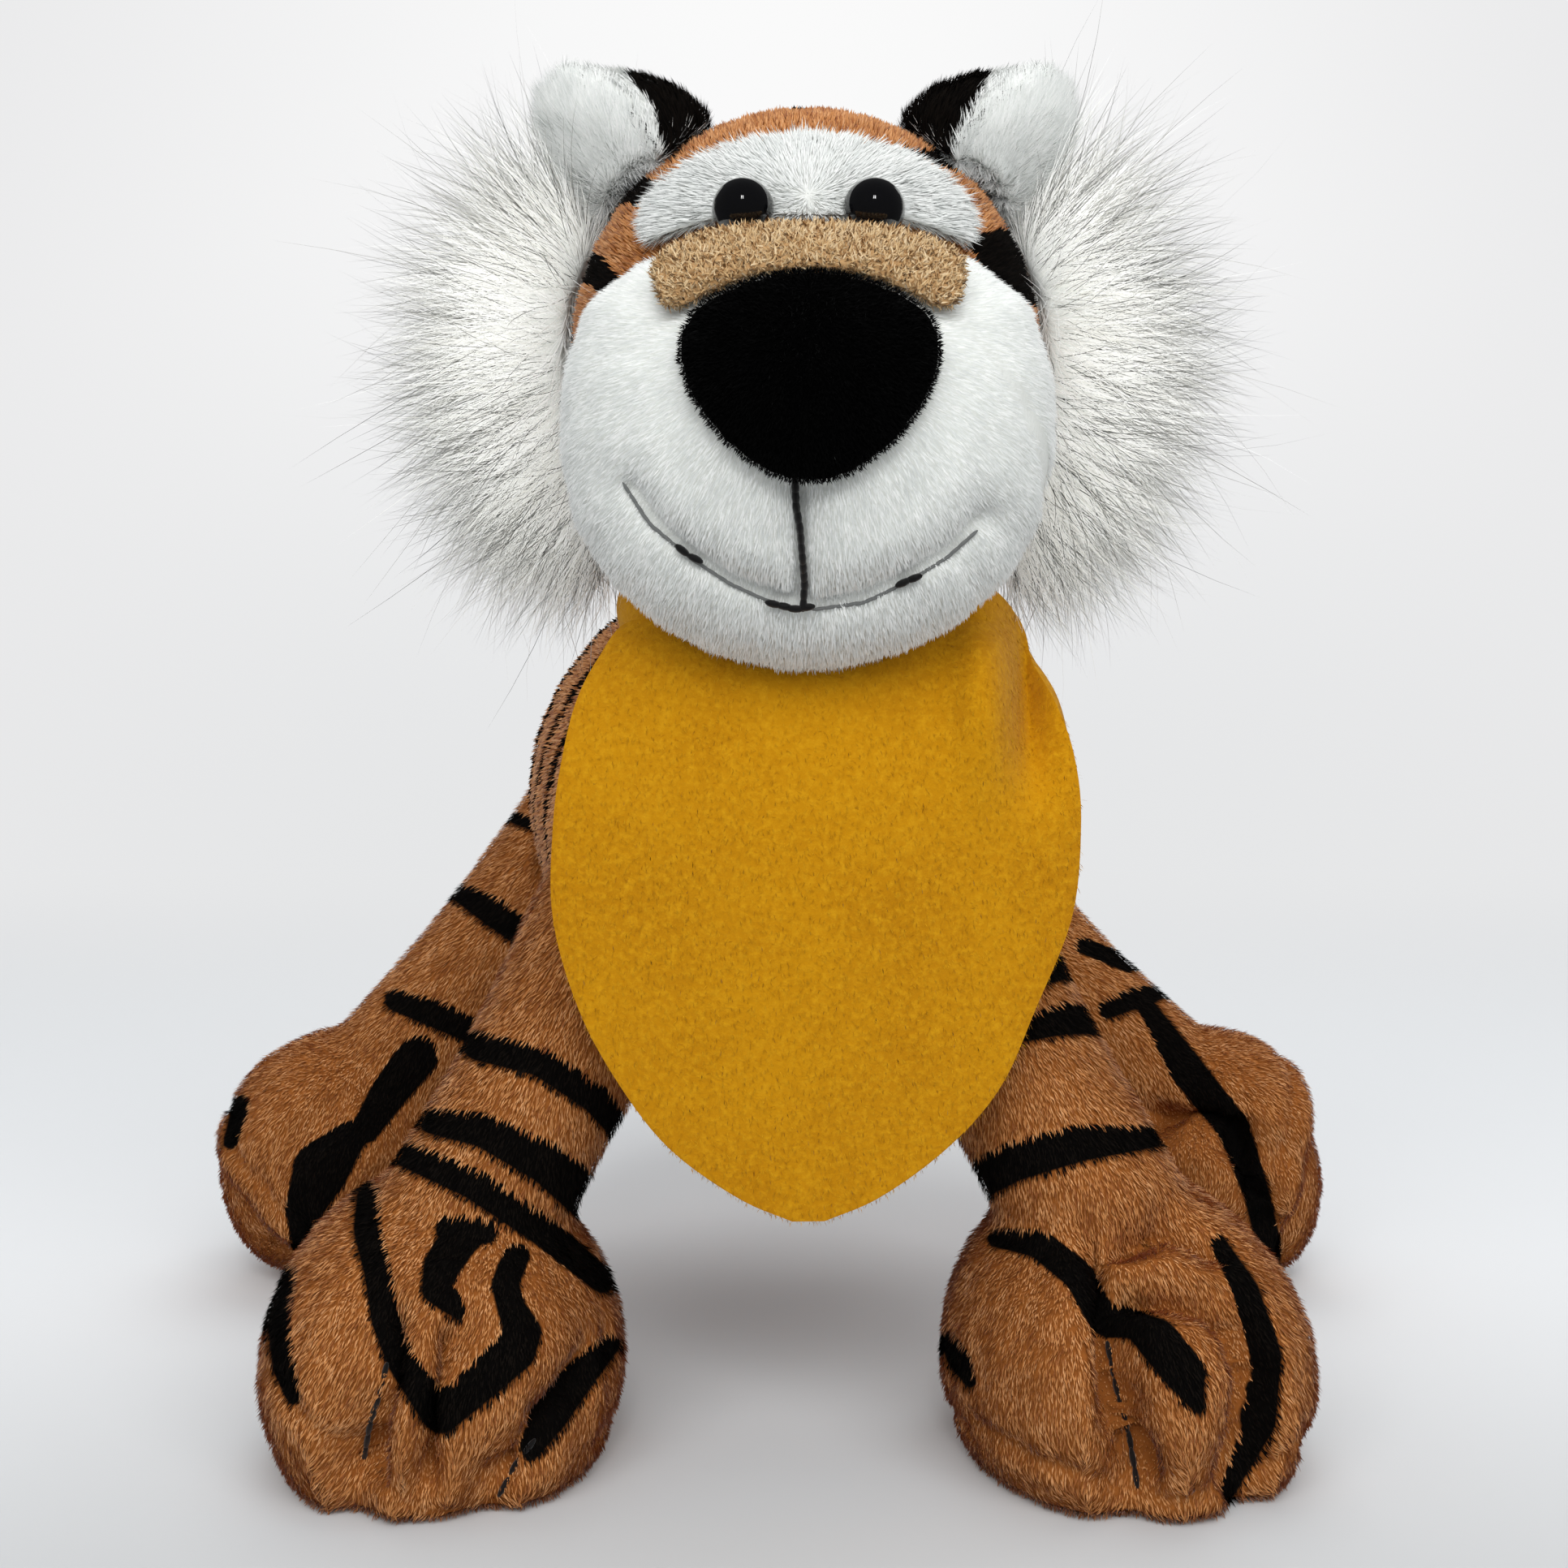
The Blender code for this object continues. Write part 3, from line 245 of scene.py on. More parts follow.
@dataclass(frozen=True)
class PhotoCamera:
    """The camera of the photograph: its place in the row frame and its picture in pixels."""

    place: tuple[float, float, float] = (0.003943, -0.375928, 0.122)
    pitch_deg: float = 5.0
    focal_px: float = 2600.0
    side_px: float = 1932.0
    sensor_mm: float = 36.0

    def pixels(self, points: np.ndarray) -> np.ndarray:
        """Projects points into the photograph.

        Args:
            points: rows of x, y and z in the row frame.

        Returns:
            Rows of pixels to the right and down.
        """
        off = points - np.array(self.place)
        turn = math.radians(self.pitch_deg)
        depth = off[:, 1] * math.cos(turn) - off[:, 2] * math.sin(turn)
        up = off[:, 1] * math.sin(turn) + off[:, 2] * math.cos(turn)
        middle = self.side_px / 2
        right, down = self.focal_px * off[:, 0] / depth, -self.focal_px * up / depth
        return np.stack([middle + right, middle + down], 1)

    def ray(self, x: float, y: float) -> tuple[Vector, Vector]:
        """The start and direction of the sight line through a pixel."""
        middle = self.side_px / 2
        turn = math.radians(self.pitch_deg)
        right, up = (x - middle) / self.focal_px, (middle - y) / self.focal_px
        ahead = Vector((0, math.cos(turn), -math.sin(turn)))
        above = Vector((0, math.sin(turn), math.cos(turn)))
        return Vector(self.place), (ahead + above * up + Vector((right, 0, 0))).normalized()

    def on_surface(self, tree: BVHTree, path: tuple, lift: float) -> list[Vector]:
        """Where the sight lines of a pixel path meet a surface, raised from it."""
        found = []
        for x, y in path:
            start, direction = self.ray(x, y)
            place, normal, _, _ = tree.ray_cast(start, direction)
            if place is not None:
                found.append(place + normal * lift)
        return found

    def build(self) -> bpy.types.Object:
        """Adds the camera and makes it the scene's."""
        data = bpy.data.cameras.new("photo_camera")
        data.sensor_width = self.sensor_mm
        data.sensor_fit = "HORIZONTAL"
        data.lens = self.sensor_mm * self.focal_px / self.side_px
        made = bpy.data.objects.new("photo_camera", data)
        made.location = self.place
        made.rotation_euler = (math.radians(90 - self.pitch_deg), 0, 0)
        bpy.context.scene.collection.objects.link(made)
        bpy.context.scene.camera = made
        return made


CAMERA = PhotoCamera()


@dataclass(frozen=True)
class Marks:
    """Strokes on the cloth, each a path of x, y and half width in the photograph's pixels.

    The spread widens dyed strokes by as much as the pale pile leans over their edges.
    """

    strokes: tuple[Path3, ...] = ()
    spread: float = 0.0

    def reach(self, points: np.ndarray) -> np.ndarray:
        """How far inside the nearest stroke each point is, in pixels; below zero outside."""
        places = CAMERA.pixels(points)
        best = np.full(len(points), -1e3)
        for stroke in self.strokes:
            for (ax, ay, aw), (bx, by, bw) in zip(stroke, stroke[1:]):
                start, along = np.array((ax, ay)), np.array((bx - ax, by - ay))
                t = np.clip((places - start) @ along / (along @ along), 0, 1)
                off = np.linalg.norm(places - start - t[:, None] * along, axis=1)
                best = np.maximum(best, aw + (bw - aw) * t - off)
        return best + self.spread


# --- Finishes ----------------------------------------------------------------------------------


def new_material(name: str, values: dict[str, object]) -> tuple[bpy.types.Material, bpy.types.Node]:
    """Makes a material and sets the inputs of its Principled shader.

    Args:
        name: the material's name.
        values: input names and their values.

    Returns:
        The material and its shader node.
    """
    made = bpy.data.materials.new(name)
    made.use_nodes = True
    shader = made.node_tree.nodes["Principled BSDF"]
    for key, value in values.items():
        shader.inputs[key].default_value = value
    return made, shader


@dataclass(frozen=True)
class PileFibre:
    """Polyester pile: fine crimped fibre, so it scatters light softly and shines only at grazing angles."""

    name: str
    colour: str
    roughness: float = 0.75
    sheen: float = 0.1
    shine: float = 0.25

    def make(self) -> bpy.types.Material:
        """Makes the plain material of one dye lot of fibre."""
        values = {
            "Base Color": linear(self.colour),
            "Roughness": self.roughness,
            "Specular IOR Level": self.shine,
            "Sheen Weight": self.sheen,
        }
        return new_material(self.name, values)[0]


@dataclass(frozen=True)
class KnitBacking:
    """Warp-knit backing between the fibres: matt, darker than its pile, dyed through in the stripes."""

    name: str
    ground: str
    dark: str
    stripe: str | None = None
    loop_mm: float = 0.6
    mottle_mm: float = 3.846
    stripe_soft: float = 0.15

    def make(self) -> bpy.types.Material:
        """Makes the knit with mottled dye and, where it has them, stripes from the stripe attribute."""
        made, shader = new_material(self.name, {"Roughness": 0.95, "Specular IOR Level": 0.1})
        tree = made.node_tree
        place = add(tree, "ShaderNodeTexCoord", take="Object")
        cloud = {"Vector": place, "Scale": 1 / (self.mottle_mm * MM), "Detail": 4.0}
        mottle = add(tree, "ShaderNodeTexNoise", cloud, 0)
        tones = {0: mottle, 6: linear(self.dark), 7: linear(self.ground)}
        colour = add(tree, "ShaderNodeMix", tones, 2, data_type="RGBA")
        if self.stripe:
            mark = add(tree, "ShaderNodeAttribute", take="Fac", attribute_name="stripe")
            edge = {0: mark, 1: -self.stripe_soft, 2: self.stripe_soft}
            inside = add(tree, "ShaderNodeMapRange", edge, 0)
            tones = {0: inside, 6: colour, 7: linear(self.stripe)}
            colour = add(tree, "ShaderNodeMix", tones, 2, data_type="RGBA")
        tree.links.new(colour, shader.inputs["Base Color"])
        knit = {"Vector": place, "Scale": 1 / (self.loop_mm * MM), "Detail": 2.0}
        loops = add(tree, "ShaderNodeTexNoise", knit, 0)
        bump = add(tree, "ShaderNodeBump", {"Height": loops, "Strength": 0.4, "Distance": 0.0003}, 0)
        tree.links.new(bump, shader.inputs["Normal"])
        return made


@dataclass(frozen=True)
class WoolFelt:
    """Pressed wool-blend felt: matted fibre with no weave, unevenly dyed and slightly hairy.

    The clouds, hairs and specks of its dye are as large as they look on the cloth, in millimetres.
    """

    name: str = "pressed_felt_marigold"
    ground: str = "#C18605"
    light: str = "#CB920F"
    dark: str = "#B57A03"
    cloud_mm: float = 18.18
    speck_mm: float = 1.111
    hair_mm: float = 2.381

    def make(self) -> bpy.types.Material:
        """Makes the felt with three scales of mottling and a fibrous bump."""
        values = {"Roughness": 0.93, "Specular IOR Level": 0.2, "Sheen Weight": 0.05}
        made, shader = new_material(self.name, values)
        tree = made.node_tree
        place = add(tree, "ShaderNodeTexCoord", take="Object")
        kinds = (
            (self.cloud_mm, {"Detail": 5.0, "Roughness": 0.65}),
            (self.speck_mm, {"Detail": 3.0, "Roughness": 0.7}),
            (self.hair_mm, {"Detail": 2.0, "Distortion": 2.5}),
        )
        broad, fine, hair = (
            add(tree, "ShaderNodeTexNoise", {"Vector": place, "Scale": 1 / (size * MM), **kind}, 0)
            for size, kind in kinds
        )
        clouds = add(tree, "ShaderNodeMapRange", {0: broad, 1: 0.35, 2: 0.65}, 0)
        tones = {0: clouds, 6: linear(self.dark), 7: linear(self.ground)}
        base = add(tree, "ShaderNodeMix", tones, 2, data_type="RGBA")
        specks = add(tree, "ShaderNodeMapRange", {0: fine, 1: 0.45, 2: 0.72}, 0)
        tones = {0: specks, 6: base, 7: linear(self.light)}
        top = add(tree, "ShaderNodeMix", tones, 2, data_type="RGBA")
        tree.links.new(top, shader.inputs["Base Color"])
        height = add(tree, "ShaderNodeMath", {0: hair, 1: fine}, 0, operation="ADD")
        felted = {"Height": height, "Strength": 0.55, "Distance": 0.00025}
        tree.links.new(add(tree, "ShaderNodeBump", felted, 0), shader.inputs["Normal"])
        return made


@dataclass(frozen=True)
class MouldedPlastic:
    """Moulded plastic: one colour through, with faint flow marks in its gloss."""

    name: str
    colour: str
    roughness: float
    haze: float
    coat: float = 0.0
    flow_mm: float = 1.4286

    def make(self) -> bpy.types.Material:
        """Makes the plastic with a slightly uneven gloss."""
        values = {"Base Color": linear(self.colour), "Coat Weight": self.coat, "Coat Roughness": 0.03}
        made, shader = new_material(self.name, values)
        tree = made.node_tree
        place = add(tree, "ShaderNodeTexCoord", take="Object")
        flow = {"Vector": place, "Scale": 1 / (self.flow_mm * MM), "Detail": 3.0}
        ends = {3: self.roughness, 4: self.roughness + self.haze}
        cloud = add(tree, "ShaderNodeTexNoise", flow, 0)
        gloss = add(tree, "ShaderNodeMapRange", {0: cloud, **ends}, 0)
        tree.links.new(gloss, shader.inputs["Roughness"])
        return made


@dataclass(frozen=True)
class SewingThread:
    """Spun polyester thread: three fine plies twisted, matt with a slight silk.

    The real twist of 0.5 mm is too fine to show, so it is drawn six times as coarse.
    """

    name: str
    colour: str
    ply_mm: float = 3.0

    def make(self) -> bpy.types.Material:
        """Makes thread with the ridges of its twist."""
        values = {"Base Color": linear(self.colour), "Roughness": 0.6, "Sheen Weight": 0.2}
        made, shader = new_material(self.name, values)
        tree = made.node_tree
        place = add(tree, "ShaderNodeTexCoord", take="Object")
        waves = {"Vector": place, "Scale": 1 / (self.ply_mm * MM)}
        ply = add(tree, "ShaderNodeTexWave", waves, 1, bands_direction="DIAGONAL")
        bump = add(tree, "ShaderNodeBump", {"Height": ply, "Strength": 0.5, "Distance": 0.0001}, 0)
        tree.links.new(bump, shader.inputs["Normal"])
        return made


@lru_cache(maxsize=None)
def material_of(
    finish: PileFibre | KnitBacking | WoolFelt | MouldedPlastic | SewingThread,
) -> bpy.types.Material:
    """The finish's material, made once."""
    return finish.make()


def lots(name: str, codes: str, *gloss: float) -> tuple[PileFibre, ...]:
    """The dye lots of one fibre.

    Args:
        name: the fibre's name.
        codes: the lots' hex colours with spaces between them, darkest first.
        gloss: roughness, sheen and shine, where they differ from other fibre's.

    Returns:
        One finish for each lot.
    """
    return tuple(PileFibre(f"{name}_{k}", code, *gloss) for k, code in enumerate(codes.split()))


class Dye(Enum):
    """The dyed piles: each is several near tones, as a brushed pile shows them."""

    ORANGE = lots("velboa_pile_orange", "#91542A #AB6B37 #BC7D46 #C88A53 #D59A66")
    BLACK = lots("velboa_pile_black", "#0A0807 #14100D", 0.9, 0.0, 0.1)
    WHITE = lots("plush_pile_white", "#D9DCDA #E3E6E3 #EBEDEB #F3F4F2", 0.8, 0.3)
    LONG = lots("long_fur_fibre", "#EAE9E2 #F3F3EE #FAFAF7 #FFFFFD", 0.7, 0.2)
    TAN = lots("boucle_fleece_tan", "#A37C50 #C8A677 #D6B98D #E2C9A1")
    NAP = lots("brushed_nap_black", "#020202 #050505", 1.0, 0.04, 0.02)
    FELT = lots("felt_fibre", "#AE7604 #C08708 #CE9815", 0.9, 0.05)

    def materials(self) -> list[bpy.types.Material]:
        """One material for each tone."""
        return [material_of(fibre) for fibre in self.value]


ORANGE_BACKING = KnitBacking("velboa_backing_orange", "#A5652F", "#7A431C", "#0B0908")
WHITE_BACKING = KnitBacking("plush_backing_white", "#E8EAE6", "#D6D8D3")
BLACK_BACKING = KnitBacking("velboa_backing_black", "#100E0C", "#0A0908", "#E8EAE6")
TAN_BACKING = KnitBacking("boucle_backing_tan", "#D0AE80", "#A67C4E", loop_mm=0.9)
NOSE_CLOTH = KnitBacking("brushed_tricot_black", "#030303", "#010101", loop_mm=0.4)
BLACK_THREAD = SewingThread("spun_thread_black", "#0D0C0D")
# Grey thread sunk along the smile: partly the real stitch, mostly painted shade that draws the dark line of
# its crease.
GREY_STITCH_AND_SHADE_THREAD = SewingThread("spun_thread_grey", "#6E706F")


# --- Pile and stitches, by Geometry Nodes ------------------------------------------------------


def node_group(name: str, inputs: dict[str, object]) -> bpy.types.NodeTree:
    """A Geometry Nodes tree with geometry in and out and an input for each name: whole numbers or not."""
    tree = bpy.data.node_groups.new(name, "GeometryNodeTree")
    tree.interface.new_socket(name="Geometry", in_out="INPUT", socket_type="NodeSocketGeometry")
    for label, value in inputs.items():
        kind = "NodeSocketInt" if isinstance(value, int) else "NodeSocketFloat"
        tree.interface.new_socket(name=label, in_out="INPUT", socket_type=kind)
    tree.interface.new_socket(name="Geometry", in_out="OUTPUT", socket_type="NodeSocketGeometry")
    return tree


def grown(carrier: bpy.types.Object, tree: bpy.types.NodeTree, inputs: dict[str, object]) -> bpy.types.Mesh:
    """Runs a node tree on an object with its inputs set by name, and gives the mesh that it makes."""
    modifier = carrier.modifiers.new(tree.name, "NODES")
    modifier.node_group = tree
    for item in tree.interface.items_tree:
        if item.in_out == "INPUT" and item.name in inputs:
            modifier[item.identifier] = inputs[item.name]
    return evaluated_mesh(carrier)


class Fibre(Enum):
    """The shape of one fibre: how many joints it has, and its tip's droop as a share of its length."""

    SHORT = (1, 0.22)
    CURL = (3, 0.75)
    LONG = (4, 0.45)

    def mesh(self) -> bpy.types.Mesh:
        """A fibre one unit long along +Z and one unit wide, drooping along +Y."""
        joints, droop = self.value
        rows, faces = [(0.0, 0.0, 0.0)], []
        count = joints + 1
        for k in range(1, count):
            t = k / count
            half = 0.5 * (1 - t**3) if joints > 1 else 0.5
            rows += [(-half, droop * t * t, t), (half, droop * t * t, t)]
        rows.append((0.0, droop, 1.0))
        faces.append((0, 2, 1))
        for k in range(joints - 1):
            a = 1 + 2 * k
            faces.append((a, a + 1, a + 3, a + 2))
        last = len(rows) - 1
        faces.append((last - 2, last - 1, last))
        made = bpy.data.meshes.new(f"fibre_{self.name.lower()}")
        made.from_pydata(rows, [], faces)
        made.shade_smooth()
        return made


class Draw(Enum):
    """The seeds of a pile's random draws, one for each use."""

    SCATTER = 7
    SIZE = 11
    TONE = 23
    BEND = 31


@dataclass(frozen=True)
class Pile:
    """How a pile stands: counts per square metre, lengths in metres, and shares of lean and scatter.

    Fine white fibre lets light through: such a pile throws no shadow and is lit evenly by that share.
    """

    ground: Dye
    stripe: Dye | None = None
    fibre: Fibre = Fibre.SHORT
    density: float = 7.2e6
    length: float = 0.0014
    width: float = 0.00018
    lift: float = 0.9
    lay: float = 1.0
    tuft: float = 1.1
    tuft_size: float = 0.0030
    jitter: float = 0.3
    vary: float = 0.3
    curl: float = 0.3
    through: float = 0.0
    seed: int = 1

    def inputs(self) -> dict[str, object]:
        """The node tree's inputs by name."""
        keys = "density length width lift lay tuft tuft_size jitter vary curl through seed".split()
        return {key.replace("_", " ").title(): getattr(self, key) for key in keys}

    def grow(self, skin: bpy.types.Object, name: str) -> bpy.types.Object:
        """Stands the pile on a skin.

        Args:
            skin: the skin, with its comb, coat, tall and stripe attributes.
            name: the new piece's name.

        Returns:
            A plain mesh object of all the fibres.
        """
        carrier = linked(name + "_carrier", skin.data)
        strand = linked(name + "_strand", self.fibre.mesh())
        mesh = grown(carrier, self.tree(strand), self.inputs())
        mesh.name = name
        for left in (carrier, strand):
            bpy.data.objects.remove(left)
        for extra in ("comb", "coat", "tall", "stripe", "tone", "marked", "shade"):
            if extra in mesh.attributes:
                mesh.attributes.remove(mesh.attributes[extra])
        made = linked(name, mesh)
        made.visible_shadow = self.through == 0
        return made

    def tree(self, strand: bpy.types.Object) -> bpy.types.NodeTree:
        """The node tree: points on the skin, a fibre on each, combed, tufted, scattered and dyed."""
        tree = node_group("pile", self.inputs())
        given = add(tree, "NodeGroupInput").outputs
        kinds = {"comb": "FLOAT_VECTOR", "shade": "FLOAT_VECTOR"}
        kept = {
            name: add(
                tree,
                "GeometryNodeInputNamedAttribute",
                {"Name": name},
                "Attribute",
                data_type=kinds.get(name, "FLOAT"),
            )
            for name in ("comb", "coat", "tall", "stripe", "tone", "marked", "shade")
        }
        astray, bent = (
            add(
                tree,
                "FunctionNodeRandomValue",
                {0: (-1, -1, -1), 1: (1, 1, 1), 8: draw.value},
                0,
                data_type="FLOAT_VECTOR",
            )
            for draw in (Draw.SCATTER, Draw.BEND)
        )
        place = add(tree, "GeometryNodeInputPosition", take=0)
        fineness = add(tree, "ShaderNodeMath", {0: 1.0, 1: given["Tuft Size"]}, 0, operation="DIVIDE")
        cloud, patches = (
            add(tree, "ShaderNodeTexNoise", {"Vector": place, "Scale": fineness, "Detail": detail}).outputs
            for detail in (1.0, 2.0)
        )
        half = {0: cloud[1], 1: (0.5, 0.5, 0.5)}
        parted = add(tree, "ShaderNodeVectorMath", half, 0, operation="SUBTRACT")
        share = {0: given["Density"], 1: kept["coat"]}
        density = add(tree, "ShaderNodeMath", share, 0, operation="MULTIPLY")
        sown = {"Mesh": given["Geometry"], "Density": density, "Seed": given["Seed"]}
        spread = add(tree, "GeometryNodeDistributePointsOnFaces", sown).outputs

        heading = self.leaning(
            tree,
            (spread["Normal"], given["Lift"]),
            (kept["comb"], given["Lay"]),
            (parted, given["Tuft"]),
            (astray, given["Jitter"]),
        )
        stood = add(tree, "FunctionNodeAlignRotationToVector", {"Vector": heading}, 0, axis="Z")
        droop = self.leaning(tree, (kept["comb"], None), (bent, given["Curl"]))
        turned = add(
            tree,
            "FunctionNodeAlignRotationToVector",
            {"Rotation": stood, "Vector": droop},
            0,
            axis="Y",
            pivot_axis="Z",
        )
        low, high = (
            add(tree, "ShaderNodeMath", {0: 1.0, 1: given["Vary"]}, 0, operation=kind)
            for kind in ("SUBTRACT", "ADD")
        )
        drawn = {2: low, 3: high, 8: Draw.SIZE.value}
        length = given["Length"]
        for factor in (
            add(tree, "FunctionNodeRandomValue", drawn, 1, data_type="FLOAT"),
            kept["tall"],
        ):
            length = add(tree, "ShaderNodeMath", {0: length, 1: factor}, 0, operation="MULTIPLY")
        plan = {
            "Points": spread["Points"],
            "Instance": add(tree, "GeometryNodeObjectInfo", {"Object": strand}, "Geometry"),
            "Rotation": turned,
            "Scale": add(tree, "ShaderNodeCombineXYZ", {0: given["Width"], 1: length, 2: length}, 0),
        }
        last = add(tree, "GeometryNodeInstanceOnPoints", plan, 0)

        drawn = {2: 0.0, 3: 1.0, 8: Draw.TONE.value}
        chance = add(tree, "FunctionNodeRandomValue", drawn, 1, data_type="FLOAT")
        one, two = (
            add(tree, "ShaderNodeMath", {0: value, 1: part}, 0, operation="MULTIPLY")
            for value, part in ((chance, 0.45), (patches[0], 0.55))
        )
        tone = add(tree, "ShaderNodeMath", {0: one, 1: two}, 0, operation="ADD")
        uneven = add(tree, "ShaderNodeMath", {0: given["Jitter"], 1: 0.8}, 0, operation="MULTIPLY")
        lamps = add(tree, "ShaderNodeCombineXYZ", {1: -0.8, 2: 0.5}, 0)
        shade = self.leaning(
            tree, (spread["Normal"], None), (astray, uneven), (lamps, given["Through"])
        )
        stored = (("tone", tone), ("marked", kept["stripe"]), ("shade", shade))
        for name, value in stored:
            last = add(
                tree,
                "GeometryNodeStoreNamedAttribute",
                {"Geometry": last, "Name": name, "Value": value},
                0,
                data_type=kinds.get(name, "FLOAT"),
                domain="INSTANCE",
            )
        last = add(tree, "GeometryNodeRealizeInstances", {"Geometry": last}, 0)
        lit = {"Mesh": last, "Custom Normal": kept["shade"]}
        last = add(tree, "GeometryNodeSetMeshNormal", lit, 0, mode="FREE")
        for chosen, material in self.dyed(tree, kept):
            dye = {"Geometry": last, "Selection": chosen, "Material": material}
            last = add(tree, "GeometryNodeSetMaterial", dye, 0)
        add(tree, "NodeGroupOutput", {0: last})
        return tree

    def leaning(
        self,
        tree: bpy.types.NodeTree,
        *parts: tuple[bpy.types.NodeSocket, bpy.types.NodeSocket | None],
    ) -> bpy.types.NodeSocket:
        """A direction that is the sum of others, each in its share or, with none, whole."""
        total = None
        for vector, share in parts:
            if share is not None:
                scaled = {0: vector, "Scale": share}
                vector = add(tree, "ShaderNodeVectorMath", scaled, 0, operation="SCALE")
            both = {0: total, 1: vector}
            total = vector if total is None else add(tree, "ShaderNodeVectorMath", both, 0, operation="ADD")
        return total

    def dyed(
        self, tree: bpy.types.NodeTree, kept: dict[str, bpy.types.NodeSocket]
    ) -> list[tuple[bpy.types.NodeSocket, bpy.types.Material]]:
        """Which fibres take which material: lots of the ground by tone, then the stripe's over them."""
        found = []
        grounds = self.ground.materials()
        for k, material in enumerate(grounds):
            above = {0: kept["tone"], 1: 0.2 + 0.6 * k / len(grounds) if k else -1.0}
            found.append((add(tree, "ShaderNodeMath", above, 0, operation="GREATER_THAN"), material))
        for k, material in enumerate(self.stripe.materials() if self.stripe else ()):
            inside, later = (
                add(tree, "ShaderNodeMath", {0: value, 1: limit}, 0, operation="GREATER_THAN")
                for value, limit in ((kept["marked"], 0.0), (kept["tone"], 0.5 if k else -1.0))
            )
            both = add(tree, "ShaderNodeMath", {0: inside, 1: later}, 0, operation="MULTIPLY")
            found.append((both, material))
        return found


@dataclass(frozen=True)
class StitchRow:
    """A row of short stitches that follows a path, sizes in metres."""

    thread: SewingThread
    pitch: float = 0.0016
    length: float = 0.0021
    radius: float = 0.0004

    def sew(self, name: str, path: list[Vector]) -> bpy.types.Object:
        """Lays the stitches along a path.

        Args:
            name: the new piece's name.
            path: the points that the row follows, in the row frame.

        Returns:
            A plain mesh object of the stitches.
        """
        curve = bpy.data.curves.new(name, "CURVE")
        curve.dimensions = "3D"
        line = curve.splines.new("POLY")
        line.points.add(len(path) - 1)
        for spot, point in zip(line.points, path):
            spot.co = (*point, 1)
        carrier = bpy.data.objects.new(name + "_carrier", curve)
        bpy.context.scene.collection.objects.link(carrier)
        inputs = {"Pitch": self.pitch, "Length": self.length, "Radius": self.radius}
        mesh = grown(carrier, self.tree(inputs), inputs)
        bpy.data.objects.remove(carrier)
        mesh.name = name
        mesh.shade_smooth()
        return linked(name, mesh)

    def tree(self, inputs: dict[str, object]) -> bpy.types.NodeTree:
        """The node tree: one long rounded stitch at each step along the curve."""
        tree = node_group("stitches", inputs)
        given = add(tree, "NodeGroupInput").outputs
        paced = {"Curve": given["Geometry"], "Length": given["Pitch"]}
        steps = add(tree, "GeometryNodeCurveToPoints", paced, mode="LENGTH")
        ball = add(tree, "GeometryNodeMeshUVSphere", {"Segments": 8, "Rings": 6, "Radius": 1.0})
        half = add(tree, "ShaderNodeMath", {0: given["Length"], 1: 0.5}, operation="MULTIPLY").outputs[0]
        size = add(tree, "ShaderNodeCombineXYZ", {0: given["Radius"], 1: given["Radius"], 2: half})
        ahead = {"Vector": steps.outputs["Tangent"]}
        turned = add(tree, "FunctionNodeAlignRotationToVector", ahead, axis="Z")
        plan = {
            "Points": steps.outputs[0],
            "Instance": ball.outputs["Mesh"],
            "Rotation": turned.outputs[0],
            "Scale": size.outputs[0],
        }
        laid = add(tree, "GeometryNodeInstanceOnPoints", plan).outputs[0]
        whole = add(tree, "GeometryNodeRealizeInstances", {"Geometry": laid}).outputs[0]
        coloured = {"Geometry": whole, "Material": material_of(self.thread)}
        dyed = add(tree, "GeometryNodeSetMaterial", coloured)
        add(tree, "NodeGroupOutput", {0: dyed.outputs[0]})
        return tree


# --- Stuffed skins -----------------------------------------------------------------------------


